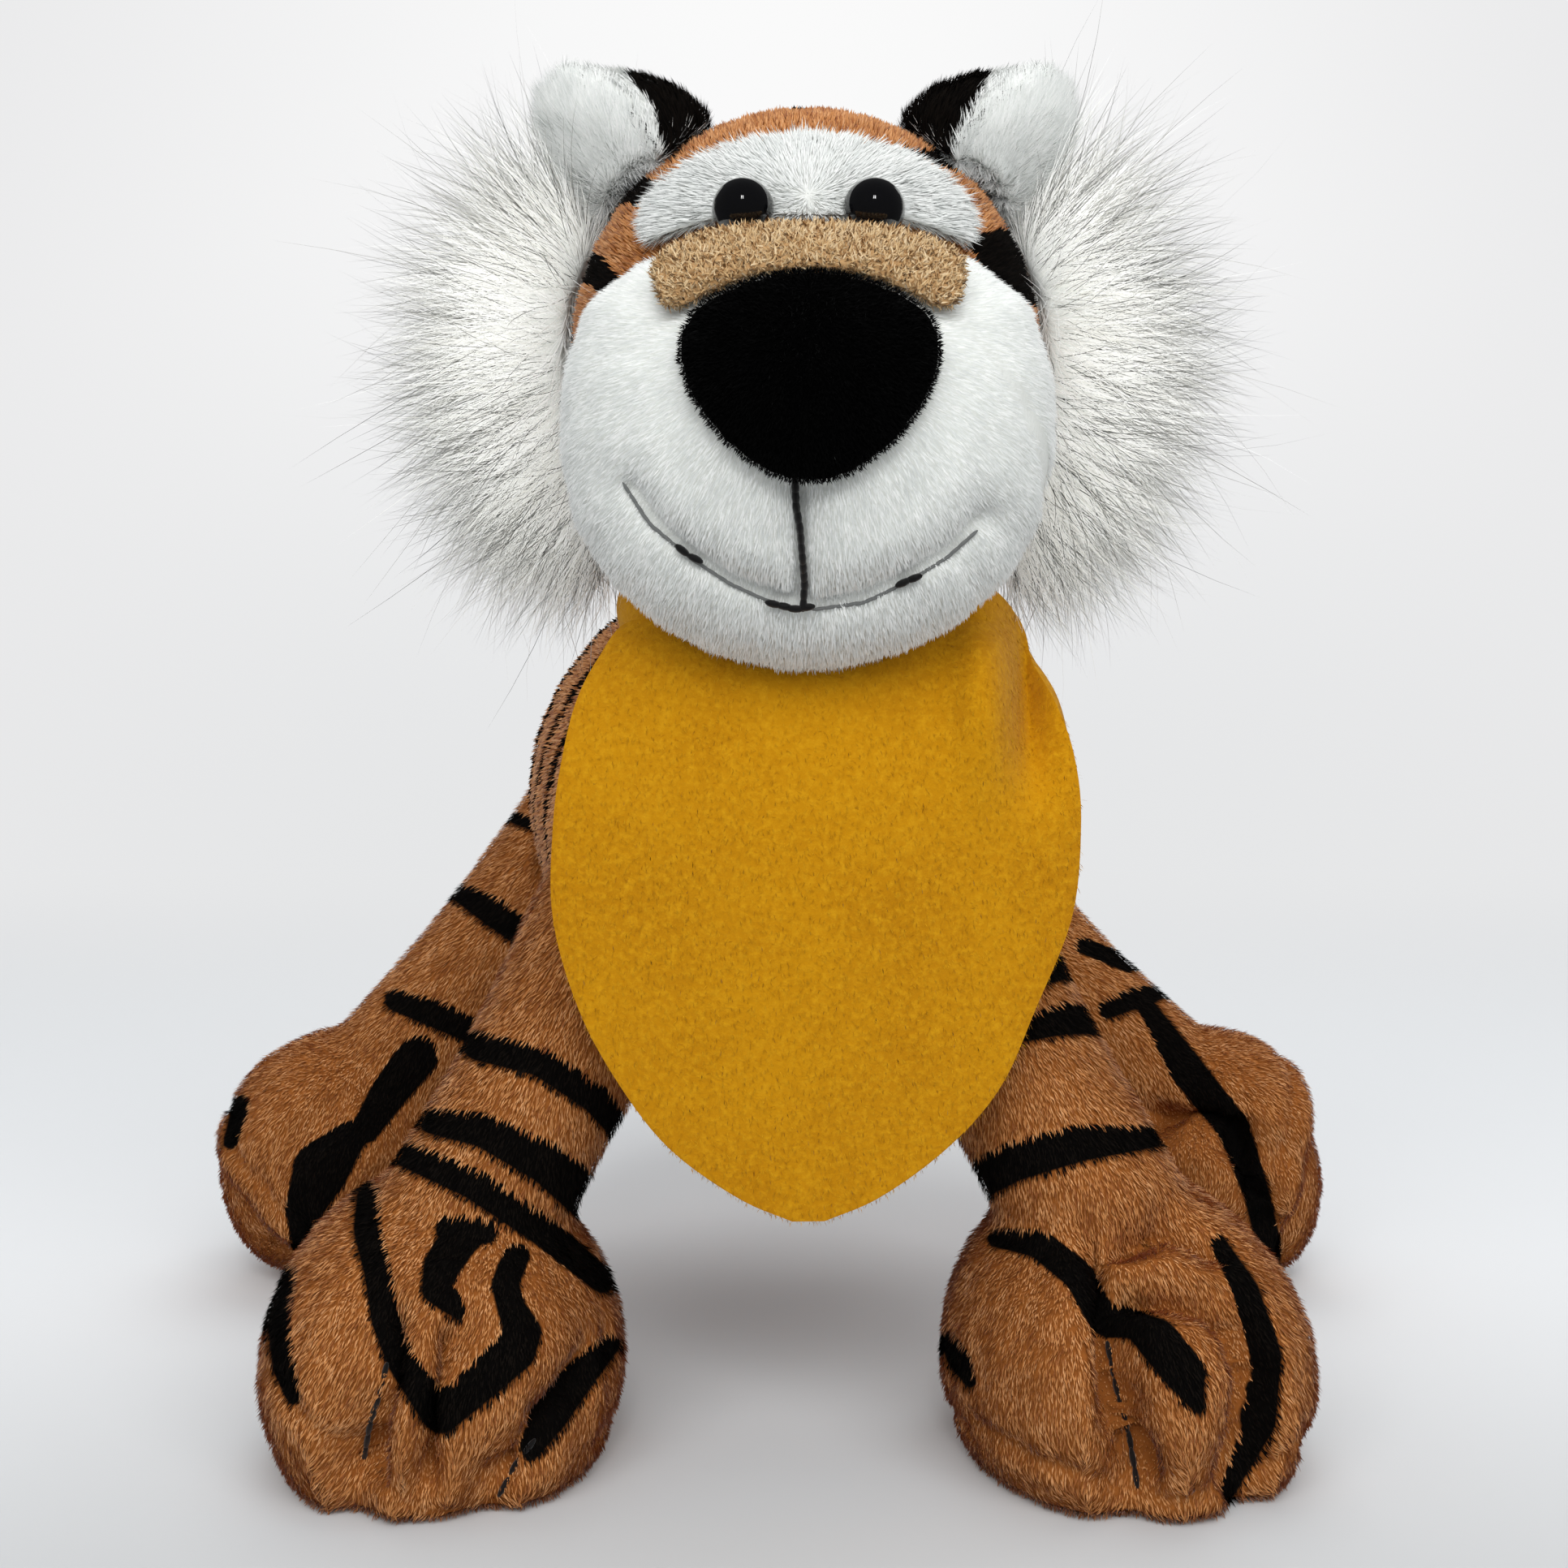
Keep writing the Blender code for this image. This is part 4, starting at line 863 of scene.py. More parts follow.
@dataclass
class StuffedSkin:
    """One sewn and stuffed skin: rounded from CAD solids, then creased, striped, combed and grown over."""

    name: str
    nodes: tuple[str, ...]
    body: str
    slot: str
    backing: KnitBacking
    pile: Pile
    voxel: float = 0.0014
    rounds: int = 26
    inset: float = 0.0009
    fill: float = 0.8
    swell: float = 0.0016
    sim_voxel: float = 0.0035
    sim_scale: float = 10.0
    sim_mass: float = 0.01
    sim_pressure: float = 20.0
    sim_steps: int = 20
    stubs: tuple[tuple[Vector, Vector, float], ...] = ()
    plumps: tuple[tuple[Vector, Vector], ...] = ()
    blend_to: tuple[str, Vector, Vector] | None = None
    skin: bpy.types.Object | None = field(default=None, init=False)
    coat: bpy.types.Object | None = field(default=None, init=False)
    wisps: bpy.types.Object | None = field(default=None, init=False)

    def shape(self) -> None:
        """Closes one skin round the CAD solids, rounds it and draws it in by the depth of the pile."""
        whole = bmesh.new()
        for node in self.nodes:
            whole.from_mesh(frame["nodes"][node].data)
        bmesh.ops.remove_doubles(whole, verts=whole.verts, dist=1e-6)
        for start, end, radius in self.stubs:
            axis = end - start
            turn = axis.to_track_quat("Z", "Y").to_matrix().to_4x4()
            bmesh.ops.create_cone(
                whole,
                cap_ends=True,
                segments=20,
                radius1=radius,
                radius2=radius,
                depth=axis.length,
                matrix=Matrix.Translation((start + end) / 2) @ turn,
            )
        for middle, halves in self.plumps:
            matrix = Matrix.Translation(middle) @ Matrix.Diagonal((*halves, 1))
            bmesh.ops.create_uvsphere(whole, u_segments=24, v_segments=16, radius=1.0, matrix=matrix)
        mesh = bpy.data.meshes.new(self.name)
        whole.to_mesh(mesh)
        whole.free()
        self.skin = linked(self.name, remeshed(self.name, mesh, self.voxel))
        self.keep_largest()
        self.relax(self.rounds)
        mesh = self.skin.data
        set_points(mesh, points_of(mesh) - normals_of(mesh) * self.inset)
        mesh.shade_smooth()
        mesh.materials.clear()
        mesh.materials.append(material_of(self.backing))

    def keep_largest(self) -> None:
        """Drops the small closed bubbles that gaps between the solids leave inside."""
        shape = bmesh.new()
        shape.from_mesh(self.skin.data)
        shape.verts.ensure_lookup_table()
        seen = np.full(len(shape.verts), -1)
        sizes = []
        for vert in shape.verts:
            if seen[vert.index] >= 0:
                continue
            group, queue = len(sizes), [vert]
            seen[vert.index] = group
            count = 0
            while queue:
                at = queue.pop()
                count += 1
                for edge in at.link_edges:
                    other = edge.other_vert(at)
                    if seen[other.index] < 0:
                        seen[other.index] = group
                        queue.append(other)
            sizes.append(count)
        best = int(np.argmax(sizes))
        bmesh.ops.delete(shape, geom=[v for v in shape.verts if seen[v.index] != best], context="VERTS")
        shape.to_mesh(self.skin.data)
        shape.free()

    def relax(self, rounds: int) -> None:
        """Rounds the skin without shrinking it, by smoothing steps out and back."""
        mesh = self.skin.data
        ends = np.empty(len(mesh.edges) * 2, np.int32)
        mesh.edges.foreach_get("vertices", ends)
        ends = ends.reshape(-1, 2)
        points = points_of(mesh)
        count = np.maximum(np.bincount(ends.ravel(), minlength=len(points)), 1)[:, None]
        for _ in range(rounds):
            for share in (0.6, -0.615):
                total = np.zeros_like(points)
                for axis in range(3):
                    total[:, axis] = np.bincount(ends[:, 0], points[ends[:, 1], axis], len(points))
                    total[:, axis] += np.bincount(ends[:, 1], points[ends[:, 0], axis], len(points))
                points += share * (total / count - points)
        set_points(mesh, points)

    def puff(self, held: np.ndarray) -> None:
        """Swells the skin with a short cloth simulation under pressure, held where it is sewn.

        It runs on a coarse copy made larger, because the solver is meant for sizes near a metre. The
        movement is capped and carried over to the fine skin.

        Args:
            held: share from 0 to 1 that holds each point of the skin in its place.
        """
        mesh = self.skin.data
        fine = points_of(mesh)
        draft = mesh.copy()
        set_points(draft, fine * self.sim_scale)
        made = linked(self.name + "_sim", remeshed(self.name, draft, self.sim_voxel * self.sim_scale))
        start = points_of(made.data)
        lookup = lookup_of(fine)
        group = made.vertex_groups.new(name="sewn")
        for k, point in enumerate(start / self.sim_scale):
            group.add([k], float(held[lookup.find(point)[1]]), "REPLACE")
        cloth = made.modifiers.new("stuffing", "CLOTH").settings
        cloth.quality = 4
        cloth.mass = self.sim_mass
        cloth.use_pressure = True
        cloth.uniform_pressure_force = self.sim_pressure
        cloth.effector_weights.gravity = 0.0
        cloth.vertex_group_mass = "sewn"
        for step in range(1, self.sim_steps + 1):
            bpy.context.scene.frame_set(step)
        move = (points_of(evaluated_mesh(made)) - start) / self.sim_scale
        size = np.linalg.norm(move, axis=1)
        move *= (np.minimum(size, self.swell) / np.maximum(size, 1e-9))[:, None]
        bpy.data.objects.remove(made)
        bpy.context.scene.frame_set(1)
        lookup = lookup_of(start / self.sim_scale)
        carried = np.zeros_like(fine)
        for k, point in enumerate(fine):
            near = lookup.find_n(point, 5)
            weight = np.array([1 / (far + 1e-4) for _, _, far in near])
            carried[k] = (move[[index for _, index, _ in near]] * weight[:, None]).sum(0) / weight.sum()
        set_points(mesh, fine + carried * (1 - held)[:, None])
        LOG.info("%s swelled by %.2f mm, at most %.2f", self.name, size.mean() / MM, size.max() / MM)

    def press(self, depth: np.ndarray) -> None:
        """Pushes the skin in along its normals by a depth at each point."""
        mesh = self.skin.data
        set_points(mesh, points_of(mesh) - normals_of(mesh) * depth[:, None])

    def dress(
        self,
        comb: np.ndarray,
        stripe: np.ndarray | None = None,
        coat: np.ndarray | None = None,
        tall: np.ndarray | None = None,
    ) -> None:
        """Gives the skin its fields and grows the pile.

        Args:
            comb: the direction that the pile is brushed in, at each point.
            stripe: above zero where the cloth is dyed dark.
            coat: share of the pile's density, from 0 to 1.
            tall: share of the pile's length.
        """
        mesh = self.skin.data
        normal = normals_of(mesh)
        flat = comb - normal * np.sum(comb * normal, axis=1)[:, None]
        ones = np.ones(len(normal))
        store(mesh, "comb", unit(flat))
        store(mesh, "stripe", -ones if stripe is None else stripe)
        store(mesh, "coat", ones if coat is None else coat)
        store(mesh, "tall", ones if tall is None else tall)
        self.coat = self.pile.grow(self.skin, self.name + "_pile")

    def fit(self) -> None:
        """Clears the working fields, hangs the pieces on the body that they move with, or fixes in place
        those that blend into another, and hides the CAD solids.
        """
        for name in ("comb", "coat", "tall"):
            kept = self.skin.data.attributes.get(name)
            if kept:
                self.skin.data.attributes.remove(kept)
        for piece in filter(None, (self.skin, self.coat, self.wisps)):
            if self.blend_to:
                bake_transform(piece)
            else:
                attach(piece, self.body)
        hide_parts(*self.nodes)
        LOG.info("%s: %d fibre faces", self.name, len(self.coat.data.polygons))


@dataclass
class Torso:
    """The stuffed torso, striped across its back, sizes in metres."""

    stripe_spots_mm: tuple[float, ...] = (-58, -43, -28, -13, 1, 15, 28)
    axis_height: float = 0.088
    half_height: float = 0.0415
    stripe_half: float = 0.0032
    stripe_wander: float = 0.0025
    stripe_slant: float = 0.006
    bib_front: float = -0.072
    bib_rear_gap: float = 0.03
    bib_top: float = 0.112
    bib_half: float = 0.018
    pressed_coat: float = 0.15

    def build(self) -> None:
        """Makes the torso's skin and pile."""
        piece = StuffedSkin(
            "torso_cloth",
            ("torso_skin", "torso_stuffing"),
            "torso",
            "orange_plush",
            ORANGE_BACKING,
            Pile(Dye.ORANGE, Dye.BLACK, density=2.6e6, width=0.00031, seed=3),
            voxel=0.0018,
            inset=0.0016,
        )
        piece.shape()
        piece.puff(np.zeros(len(piece.skin.data.vertices)))
        points = points_of(piece.skin.data)
        comb = np.tile((0.0, 0.8, -0.6), (len(points), 1))
        piece.dress(comb, self.stripes(points), self.coat(points))
        piece.fit()

    def stripes(self, points: np.ndarray) -> np.ndarray:
        """How far inside a stripe each point is, in millimetres; each wavers and ends low on the flank."""
        height = (points[:, 2] - self.axis_height) / self.half_height
        side = np.sign(points[:, 0] - CAMERA.place[0])
        best = np.full(len(points), UNDYED)
        for number, spot in enumerate(self.stripe_spots_mm):
            wander = self.stripe_wander * np.sin(number * 2.3 + height * 4 + side * number)
            reach = np.clip((height + 0.75 - 0.25 * (number % 2)) / 1.1, 0, 1)
            width = self.stripe_half * np.sqrt(reach) * (0.75 + 0.25 * math.cos(number * 1.7))
            off = np.abs(points[:, 1] - spot * MM - wander - (1 - reach) * self.stripe_slant)
            best = np.maximum(best, np.where(reach > 0.02, (width - off) / MM, UNDYED))
        return best

    def coat(self, points: np.ndarray) -> np.ndarray:
        """A full pile, pressed thin on the chest behind the bib."""
        rear = min(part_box("bandana")[1].y - self.bib_rear_gap, self.bib_front)
        off = np.abs(points[:, 0] - CAMERA.place[0])
        behind = (points[:, 1] < rear) & (points[:, 2] < self.bib_top) & (off < self.bib_half)
        return np.where(behind, self.pressed_coat, 1.0)


@dataclass
class Leg:
    """One leg with its paw: marks, creases and toe seams in the photograph's pixels, sizes in metres."""

    spot: str
    side: str
    marks: Marks
    creases: Marks
    sole_line: Marks
    toe_seams: tuple[tuple[tuple[float, float], ...], ...]
    plumps: tuple[tuple[Vector, Vector], ...] = ()
    tube_radius: float = 0.0125
    crease_depth: float = 0.0032
    crease_px: float = 12.0
    fold_depth: float = 0.0038
    fold_px: float = 30.0
    seam_depth: float = 0.0012
    seam_half: float = 0.0010
    line_px: float = 9.0
    ground: float = 0.0006
    density: float = 6.6e6
    toe_comb: tuple[float, float, float] = (0, -1, -0.55)
    splay: float = 0.6
    splay_half: float = 0.025
    crease_foot: tuple[float, float, float] = (0.002, 0.005, 0.15)
    facing_start: float = 0.12
    facing_width: float = 0.35
    root_drop: float = 0.014
    root_fade: float = 0.006
    rest_fade: float = 0.0015
    seam_short: float = 0.35
    crease_short: float = 0.8
    crease_thin: float = 0.6

    def build(self) -> None:
        """Makes the leg's skin, pile and toe stitches."""
        key = f"{self.spot}_leg_{self.side}"
        body = key + "_body"
        pivot = joint_place(f"{self.side}_{'shoulder' if self.spot == 'front' else 'hip'}_joint")
        low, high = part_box(f"{self.spot}_pellets_{self.side}")
        foot = (low + high) / 2
        down = (foot - pivot).normalized()
        sole = f"{self.spot}_sole_{self.side}"
        piece = StuffedSkin(
            f"{key}_cloth",
            (key, key + "_stuffing", sole, f"{self.spot}_pellets_{self.side}"),
            body,
            "orange_plush",
            ORANGE_BACKING,
            Pile(Dye.ORANGE, Dye.BLACK, density=self.density, width=0.00019, seed=5 + len(key)),
            stubs=((pivot - down * 0.011, pivot + down * 0.008, self.tube_radius),),
            plumps=self.plumps,
            blend_to=("torso", pivot - down * 0.003, pivot + down * 0.009),
            rounds=16,
        )
        piece.shape()
        points = points_of(piece.skin.data)
        points[:, 2] = np.maximum(points[:, 2], self.ground)
        set_points(piece.skin.data, points)
        seam, crease = self.sink(piece, frame["nodes"][sole], frame["nodes"][key])
        root = ramp(points[:, 2] - pivot.z, -self.root_drop, self.root_fade)
        rests = np.clip(1.6 - points[:, 2] / self.rest_fade, 0, 1)
        piece.puff(np.max((seam, crease, root, rests), axis=0))
        points = points_of(piece.skin.data)
        past = np.clip((pivot.z - points[:, 2]) / (pivot.z - foot.z), 0, 1) ** 2
        comb = np.array(down) * (1 - past)[:, None] + np.array(self.toe_comb) * past[:, None]
        comb[:, 0] += self.splay * np.clip((points[:, 0] - foot.x) / self.splay_half, -1, 1) * past
        tall = 1 - np.maximum(self.seam_short * seam, self.crease_short * crease)
        coat = 1 - self.crease_thin * crease**2
        piece.dress(comb, self.marks.reach(points) / DYE_EDGE_PX, coat, tall)
        tree = tree_of(piece.skin)
        piece.fit()
        for number, path in enumerate(self.toe_seams):
            spots = CAMERA.on_surface(tree, path, 0.0002)
            if len(spots) < 2:
                continue
            sewn = StitchRow(BLACK_THREAD, pitch=0.0022, length=0.0030, radius=0.00042)
            row = sewn.sew(f"{key}_toe_seam_{number + 1}", spots)
            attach(row, body)

    def sink(
        self, piece: StuffedSkin, sole: bpy.types.Object, leg: bpy.types.Object
    ) -> tuple[np.ndarray, np.ndarray]:
        """Draws in the sole's seam and the creases between the toes.

        Args:
            piece: the leg's skin.
            sole: the sole panel's solid.
            leg: the leg cover's solid.

        Returns:
            How much of the seam and of the creases each point has, from 0 to 1.
        """
        points = points_of(piece.skin.data)
        near_sole, near_leg = (np.abs(gaps_to(tree_of(solid), points)) for solid in (sole, leg))
        facing = ramp(-normals_of(piece.skin.data)[:, 1], self.facing_start, self.facing_width)
        drawn = ridge(np.minimum(self.sole_line.reach(points), 0), self.line_px) * facing
        hidden = 1 - facing if self.sole_line.strokes else 1.0
        seam = np.maximum(ridge(near_sole - near_leg, self.seam_half) * hidden, drawn)
        reach = np.minimum(self.creases.reach(points), 0)
        lifted, fade, least = self.crease_foot
        facing = facing * np.clip((points[:, 2] - lifted) / fade, least, 1)
        crease = ridge(reach, self.crease_px) * facing
        fold = ridge(reach, self.fold_px) * facing
        piece.press(self.crease_depth * crease + self.fold_depth * fold + self.seam_depth * seam)
        return seam, crease


@dataclass
class Tail:
    """The stuffed tail, ringed and tipped with black, sizes in metres."""

    ring_pitch: float = 0.015
    ring_half: float = 0.0031
    ring_wave: float = 0.0012
    tip: float = 0.016
    root_fade: float = 0.01

    def build(self) -> None:
        """Makes the tail's skin and pile."""
        root = joint_place("tail_joint")
        piece = StuffedSkin(
            "tail_cloth",
            ("tail_skin", "tail_stuffing"),
            "tail",
            "orange_plush",
            ORANGE_BACKING,
            Pile(Dye.ORANGE, Dye.BLACK, density=5.0e6, width=0.00021, seed=9),
            stubs=((root + Vector((0, -0.008, 0.001)), root + Vector((0, 0.004, 0)), 0.006),),
            blend_to=("torso", root - Vector((0, 0.003, 0)), root + Vector((0, 0.009, 0))),
        )
        piece.shape()
        held = np.clip(1 - (points_of(piece.skin.data)[:, 1] - root.y) / self.root_fade, 0, 1)
        piece.puff(held)
        points = points_of(piece.skin.data)
        _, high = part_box("tail_skin")
        along = np.hypot(points[:, 1] - root.y, points[:, 2] - root.z)
        wave = self.ring_wave * np.sin(points[:, 0] * 400)
        off = np.abs((along + wave) % self.ring_pitch - self.ring_pitch / 2)
        stripe = (self.ring_half - off) / MM
        stripe = np.maximum(stripe, (points[:, 1] - (high.y - self.tip)) / MM)
        comb = np.stack([0 * along, points[:, 1] - root.y + 0.02, points[:, 2] - root.z - 0.01], 1)
        piece.dress(comb, stripe)
        piece.fit()


@dataclass
class Bandana:
    """A felt collar round the neck and the bib that hangs from it, sizes in metres."""

    neck: Vector = field(default_factory=lambda: joint_place("head_joint"))
    felt: float = 0.0016
    collar_inner: float = 0.0216
    collar_flare: float = 0.24
    bib_out: float = 0.0252
    bib_chest: float = 0.0295
    bib_top: float = 0.1185
    bib_drop: float = 0.0805
    bib_width: float = 0.0725
    top_curl: float = 0.036
    curl: float = 0.115
    rows: tuple = (
        (-0.075, 0.60, 0.74, -0.55),
        (-0.045, 0.24, 0.83, -0.33),
        (-0.018, -0.34, 0.89, -0.12),
        (0.0, -0.58, 0.92, 0.0),
        (0.06, -0.69, 0.97, 0.28),
        (0.13, -0.77, 1.04, 0.55),
        (0.22, -0.82, 1.09, 0.82),
        (0.33, -0.855, 1.11, 1.0),
        (0.49, -0.86, 1.08, 1.05),
        (0.65, -0.76, 0.94, 1.01),
        (0.78, -0.6, 0.81, 0.93),
        (0.88, -0.42, 0.61, 0.85),
        (0.96, -0.17, 0.36, 0.78),
        (1.0, 0.03, 0.15, 0.74),
    )
    grid: tuple[int, int] = (72, 66)
    pleat_drop: float = 0.10
    pleat_fade: float = 0.26
    pleat_ridge: tuple[float, float, float] = (0.74, 0.10, 0.0044)
    pleat_hollow: tuple[float, float, float] = (0.93, 0.085, 0.0078)
    ripple: float = 0.0008
    drape: float = 0.0010
    collar_grid: tuple[int, int] = (72, 9)
    collar_front: tuple[float, float] = (0.1125, 0.1205)
    collar_rear: tuple[float, float] = (0.1226, 0.1272)
    collar_rise: float = 0.7

    def bib(self) -> bpy.types.Object:
        """The hanging part, one smooth sheet with a pleat at its upper left."""
        found = []
        for drop, right, left, forward in smooth_rows(self.rows, self.grid[0]):
            curl = self.top_curl + (self.curl - self.top_curl) * min(max(forward, 0.0), 1)
            for c in range(self.grid[1]):
                share = right + (left - right) * c / (self.grid[1] - 1)
                x = share * self.bib_width / 2
                y = -self.bib_out - (self.bib_chest - self.bib_out) * forward + x * x / (2 * curl)
                fade = max(0.0, 1 - abs(drop - self.pleat_drop) / self.pleat_fade)
                fade = fade * fade * (3 - 2 * fade)
                raised, sunk = (
                    height * ridge(share - place, half)
                    for place, half, height in (self.pleat_ridge, self.pleat_hollow)
                )
                y -= (raised - sunk) * fade
                y -= self.ripple * math.sin(share * 5 + 1.2) * math.sin(drop * math.pi) ** 2
                y -= self.drape * ridge(share - 0.25 - 0.5 * drop, 0.12) * drop * (1 - drop)
                found.append((self.neck.x + x, self.neck.y + y, self.bib_top - self.bib_drop * drop))
        return self.sheet_of("bandana_bib", found, *self.grid, closed=False)

    def collar(self) -> bpy.types.Object:
        """The band round the neck, low in front and high behind."""
        found = []
        around, across = self.collar_grid
        for k in range(around):
            angle = math.tau * k / around
            behind = ((1 - math.cos(angle)) / 2) ** self.collar_rise
            low, high = (
                front + (rear - front) * behind for front, rear in zip(self.collar_front, self.collar_rear)
            )
            for c in range(across):
                t = c / (across - 1)
                flare = (self.neck.z - low) * self.collar_flare * (1 - t)
                radius = self.collar_inner + self.felt / 2 + flare + 0.0007 * math.sin(math.pi * t)
                radius += 0.0003 * math.sin(angle * 5 + t * 2)
                x, y = radius * math.sin(angle), -radius * math.cos(angle)
                found.append((self.neck.x + x, self.neck.y + y, low + (high - low) * t))
        return self.sheet_of("bandana_collar", found, around, across, closed=True)

    def sheet_of(self, name: str, points: list, rows: int, columns: int, closed: bool) -> bpy.types.Object:
        """A felt sheet through a grid of points, thick and with soft cut edges."""
        faces = []
        for r in range(rows if closed else rows - 1):
            n = (r + 1) % rows
            for c in range(columns - 1):
                faces.append((r * columns + c, r * columns + c + 1, n * columns + c + 1, n * columns + c))
        mesh = bpy.data.meshes.new(name)
        mesh.from_pydata(points, [], faces)
        made = linked(name, mesh)
        thick = made.modifiers.new("felt", "SOLIDIFY")
        thick.thickness = self.felt
        thick.offset = 0.0
        bevel = made.modifiers.new("cut edge", "BEVEL")
        bevel.width = self.felt * 0.3
        bevel.segments = 2
        bevel.limit_method = "ANGLE"
        bevel.angle_limit = math.radians(50)
        ready = evaluated_mesh(made)
        bpy.data.objects.remove(made)
        turn_outward(ready)
        ready.shade_smooth()
        ready.name = name
        return linked(name, ready)

    def fuzz(self, bib: bpy.types.Object) -> None:
        """Raises the short loose fibres that blur the felt's face and edges."""
        mesh = bib.data
        count = len(mesh.vertices)
        store(mesh, "comb", np.tile((0.1, 0.0, -1.0), (count, 1)))
        for name, value in (("stripe", -1.0), ("coat", 1.0), ("tall", 1.0)):
            store(mesh, name, np.full(count, value))
        pile = Pile(
            Dye.FELT,
            density=2.4e6,
            length=0.0008,
            width=0.00009,
            lift=0.7,
            jitter=1.2,
            tuft=0.8,
            seed=61,
        )
        loose = pile.grow(bib, "bandana_fuzz")
        for name in ("comb", "stripe", "coat", "tall"):
            mesh.attributes.remove(mesh.attributes[name])
        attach(loose, "torso")

    def build(self) -> None:
        """Makes the bandana and its light fuzz."""
        finish = material_of(WoolFelt())
        bib, collar = self.bib(), self.collar()
        for piece in (bib, collar):
            piece.data.materials.clear()
            piece.data.materials.append(finish)
            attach(piece, "torso")
        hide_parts("bandana")
        self.fuzz(bib)


@dataclass
class Head:
    """The stuffed head with its muzzle, nose, bridge, eye patch, eyes, ears and cheek ruffs."""

    middle: Vector = field(default_factory=lambda: (sum(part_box("head_skin"), Vector()) / 2))
    nose_middle: Vector = field(default_factory=lambda: (sum(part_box("nose"), Vector()) / 2))
    ear_lean_deg: float = 33.0
    ear_turn_deg: float = 65.0
    ear_dome: float = 0.0040
    muzzle_pressure: float = 5.0
    rim_tuck: float = 0.10
    ear_pile: float = 0.0034
    ear_tip: float = 0.78
    ear_blunt: float = 0.62
    ear_root: tuple[float, float] = (0.008, 0.004)
    patch_root: tuple[float, float] = (0.006, 0.002)
    patch_fan: float = 0.02
    ruff_hub: tuple[float, float] = (0.010, 0.002)
    ruff_start_mm: float = 27.0
    ruff_full_mm: tuple[float, float] = (30.0, 12.0)
    ruff_crest: tuple[float, float] = (0.012, 0.012)
    bridge_reach: float = 0.0028
    patch_reach: float = 0.0030
    smile_px: float = 9.0
    smile_depth: float = 0.0014
    cheek_px: float = 34.0
    cheek_depth: float = 0.0013
    sewn_back: float = 45.0
    sewn_fade: float = 0.01
    tucked_back: float = 72.0
    tuck_fade: float = 0.006
    trim_gap: float = 0.0009
    trim_fade: float = 0.0008
    crown_stripes_deg: tuple[float, ...] = (18, 42, 66, 92)
    crown_half: float = 0.0030
    crown_reach: float = 0.027
    crown_radius: float = 0.034
    eye_profile: tuple = ((0.0086, 0.0013), (0.0042, 0.0013), (0.00415, 0.0034))
    eye_dome: tuple[float, float] = (0.0042, 0.004)
    dark_edges: tuple = (
        (-1, (66, 132, 202), (770, 812, 812)),
        (1, (42, 110, 215), (1232, 1200, 1190)),
    )
    face_marks: Marks = Marks(
        (
            ((948, 134, 5), (990, 131, 8), (1000, 133, 4)),
            ((764, 246, 10), (796, 240, 17), (828, 246, 12)),
            ((722, 316, 10), (736, 335, 20), (756, 352, 14)),
            ((706, 414, 8), (702, 438, 11), (700, 460, 6)),
            ((1110, 190, 3), (1150, 200, 9), (1200, 212, 10)),
            ((1196, 300, 12), (1232, 318, 33), (1262, 346, 30), (1290, 388, 6)),
        )
    )
    smile: Marks = Marks(
        (
            ((770, 600, 2), (800, 645, 2), (850, 688, 2), (900, 722, 2), (965, 745, 2)),
            ((1010, 750, 2), (1065, 742, 2), (1120, 716, 2), (1180, 680, 2), (1215, 640, 2)),
            ((985, 600, 2), (987, 670, 2), (988, 745, 2)),
        )
    )

    def build(self) -> None:
        """Makes every piece of the head."""
        muzzle = self.muzzle()
        self.skull(muzzle)
        self.patch()
        self.bridge()
        self.nose()
        self.eyes()
        self.ears()
        self.ruffs()
        self.mouth(muzzle)

    def muzzle(self) -> StuffedSkin:
        """The round white muzzle with its sewn smile."""
        piece = StuffedSkin(
            "muzzle_cloth",
            ("muzzle_skin", "muzzle_stuffing"),
            "head",
            "white_plush",
            WHITE_BACKING,
            Pile(Dye.WHITE, density=9.6e6, width=0.00016, tuft=0.7, jitter=0.22, through=0.05, seed=21),
            voxel=0.0012,
            rounds=36,
            inset=0.0008,
        )
        piece.shape()
        points = points_of(piece.skin.data)
        reach = np.minimum(self.smile.reach(points), 0)
        facing = normals_of(piece.skin.data)[:, 1] < 0
        line = ridge(reach, self.smile_px) * facing
        piece.press(self.smile_depth * line + self.cheek_depth * ridge(reach, self.cheek_px) * facing)
        back = points_of(piece.skin.data)[:, 1]
        piece.sim_pressure = self.muzzle_pressure
        sewn = ramp(back, np.percentile(back, self.sewn_back), self.sewn_fade)
        piece.puff(np.maximum(line, sewn))
        points = points_of(piece.skin.data)
        rim = ramp(points[:, 1], np.percentile(points[:, 1], self.tucked_back), self.tuck_fade)
        points += (np.array(self.middle) - points) * rim[:, None] * self.rim_tuck
        set_points(piece.skin.data, points)
        trims = [gaps_to(tree_of(frame["nodes"][node]), points) for node in ("nose", "nose_bridge")]
        clear = ramp(np.min(trims, axis=0), self.trim_gap, self.trim_fade)
        comb = towards(points, self.nose_middle + Vector((0, 0.004, 0.004)))
        comb[:, 2] -= 0.25
        piece.dress(comb, None, clear, 1 - 0.55 * line)
        piece.fit()
        return piece

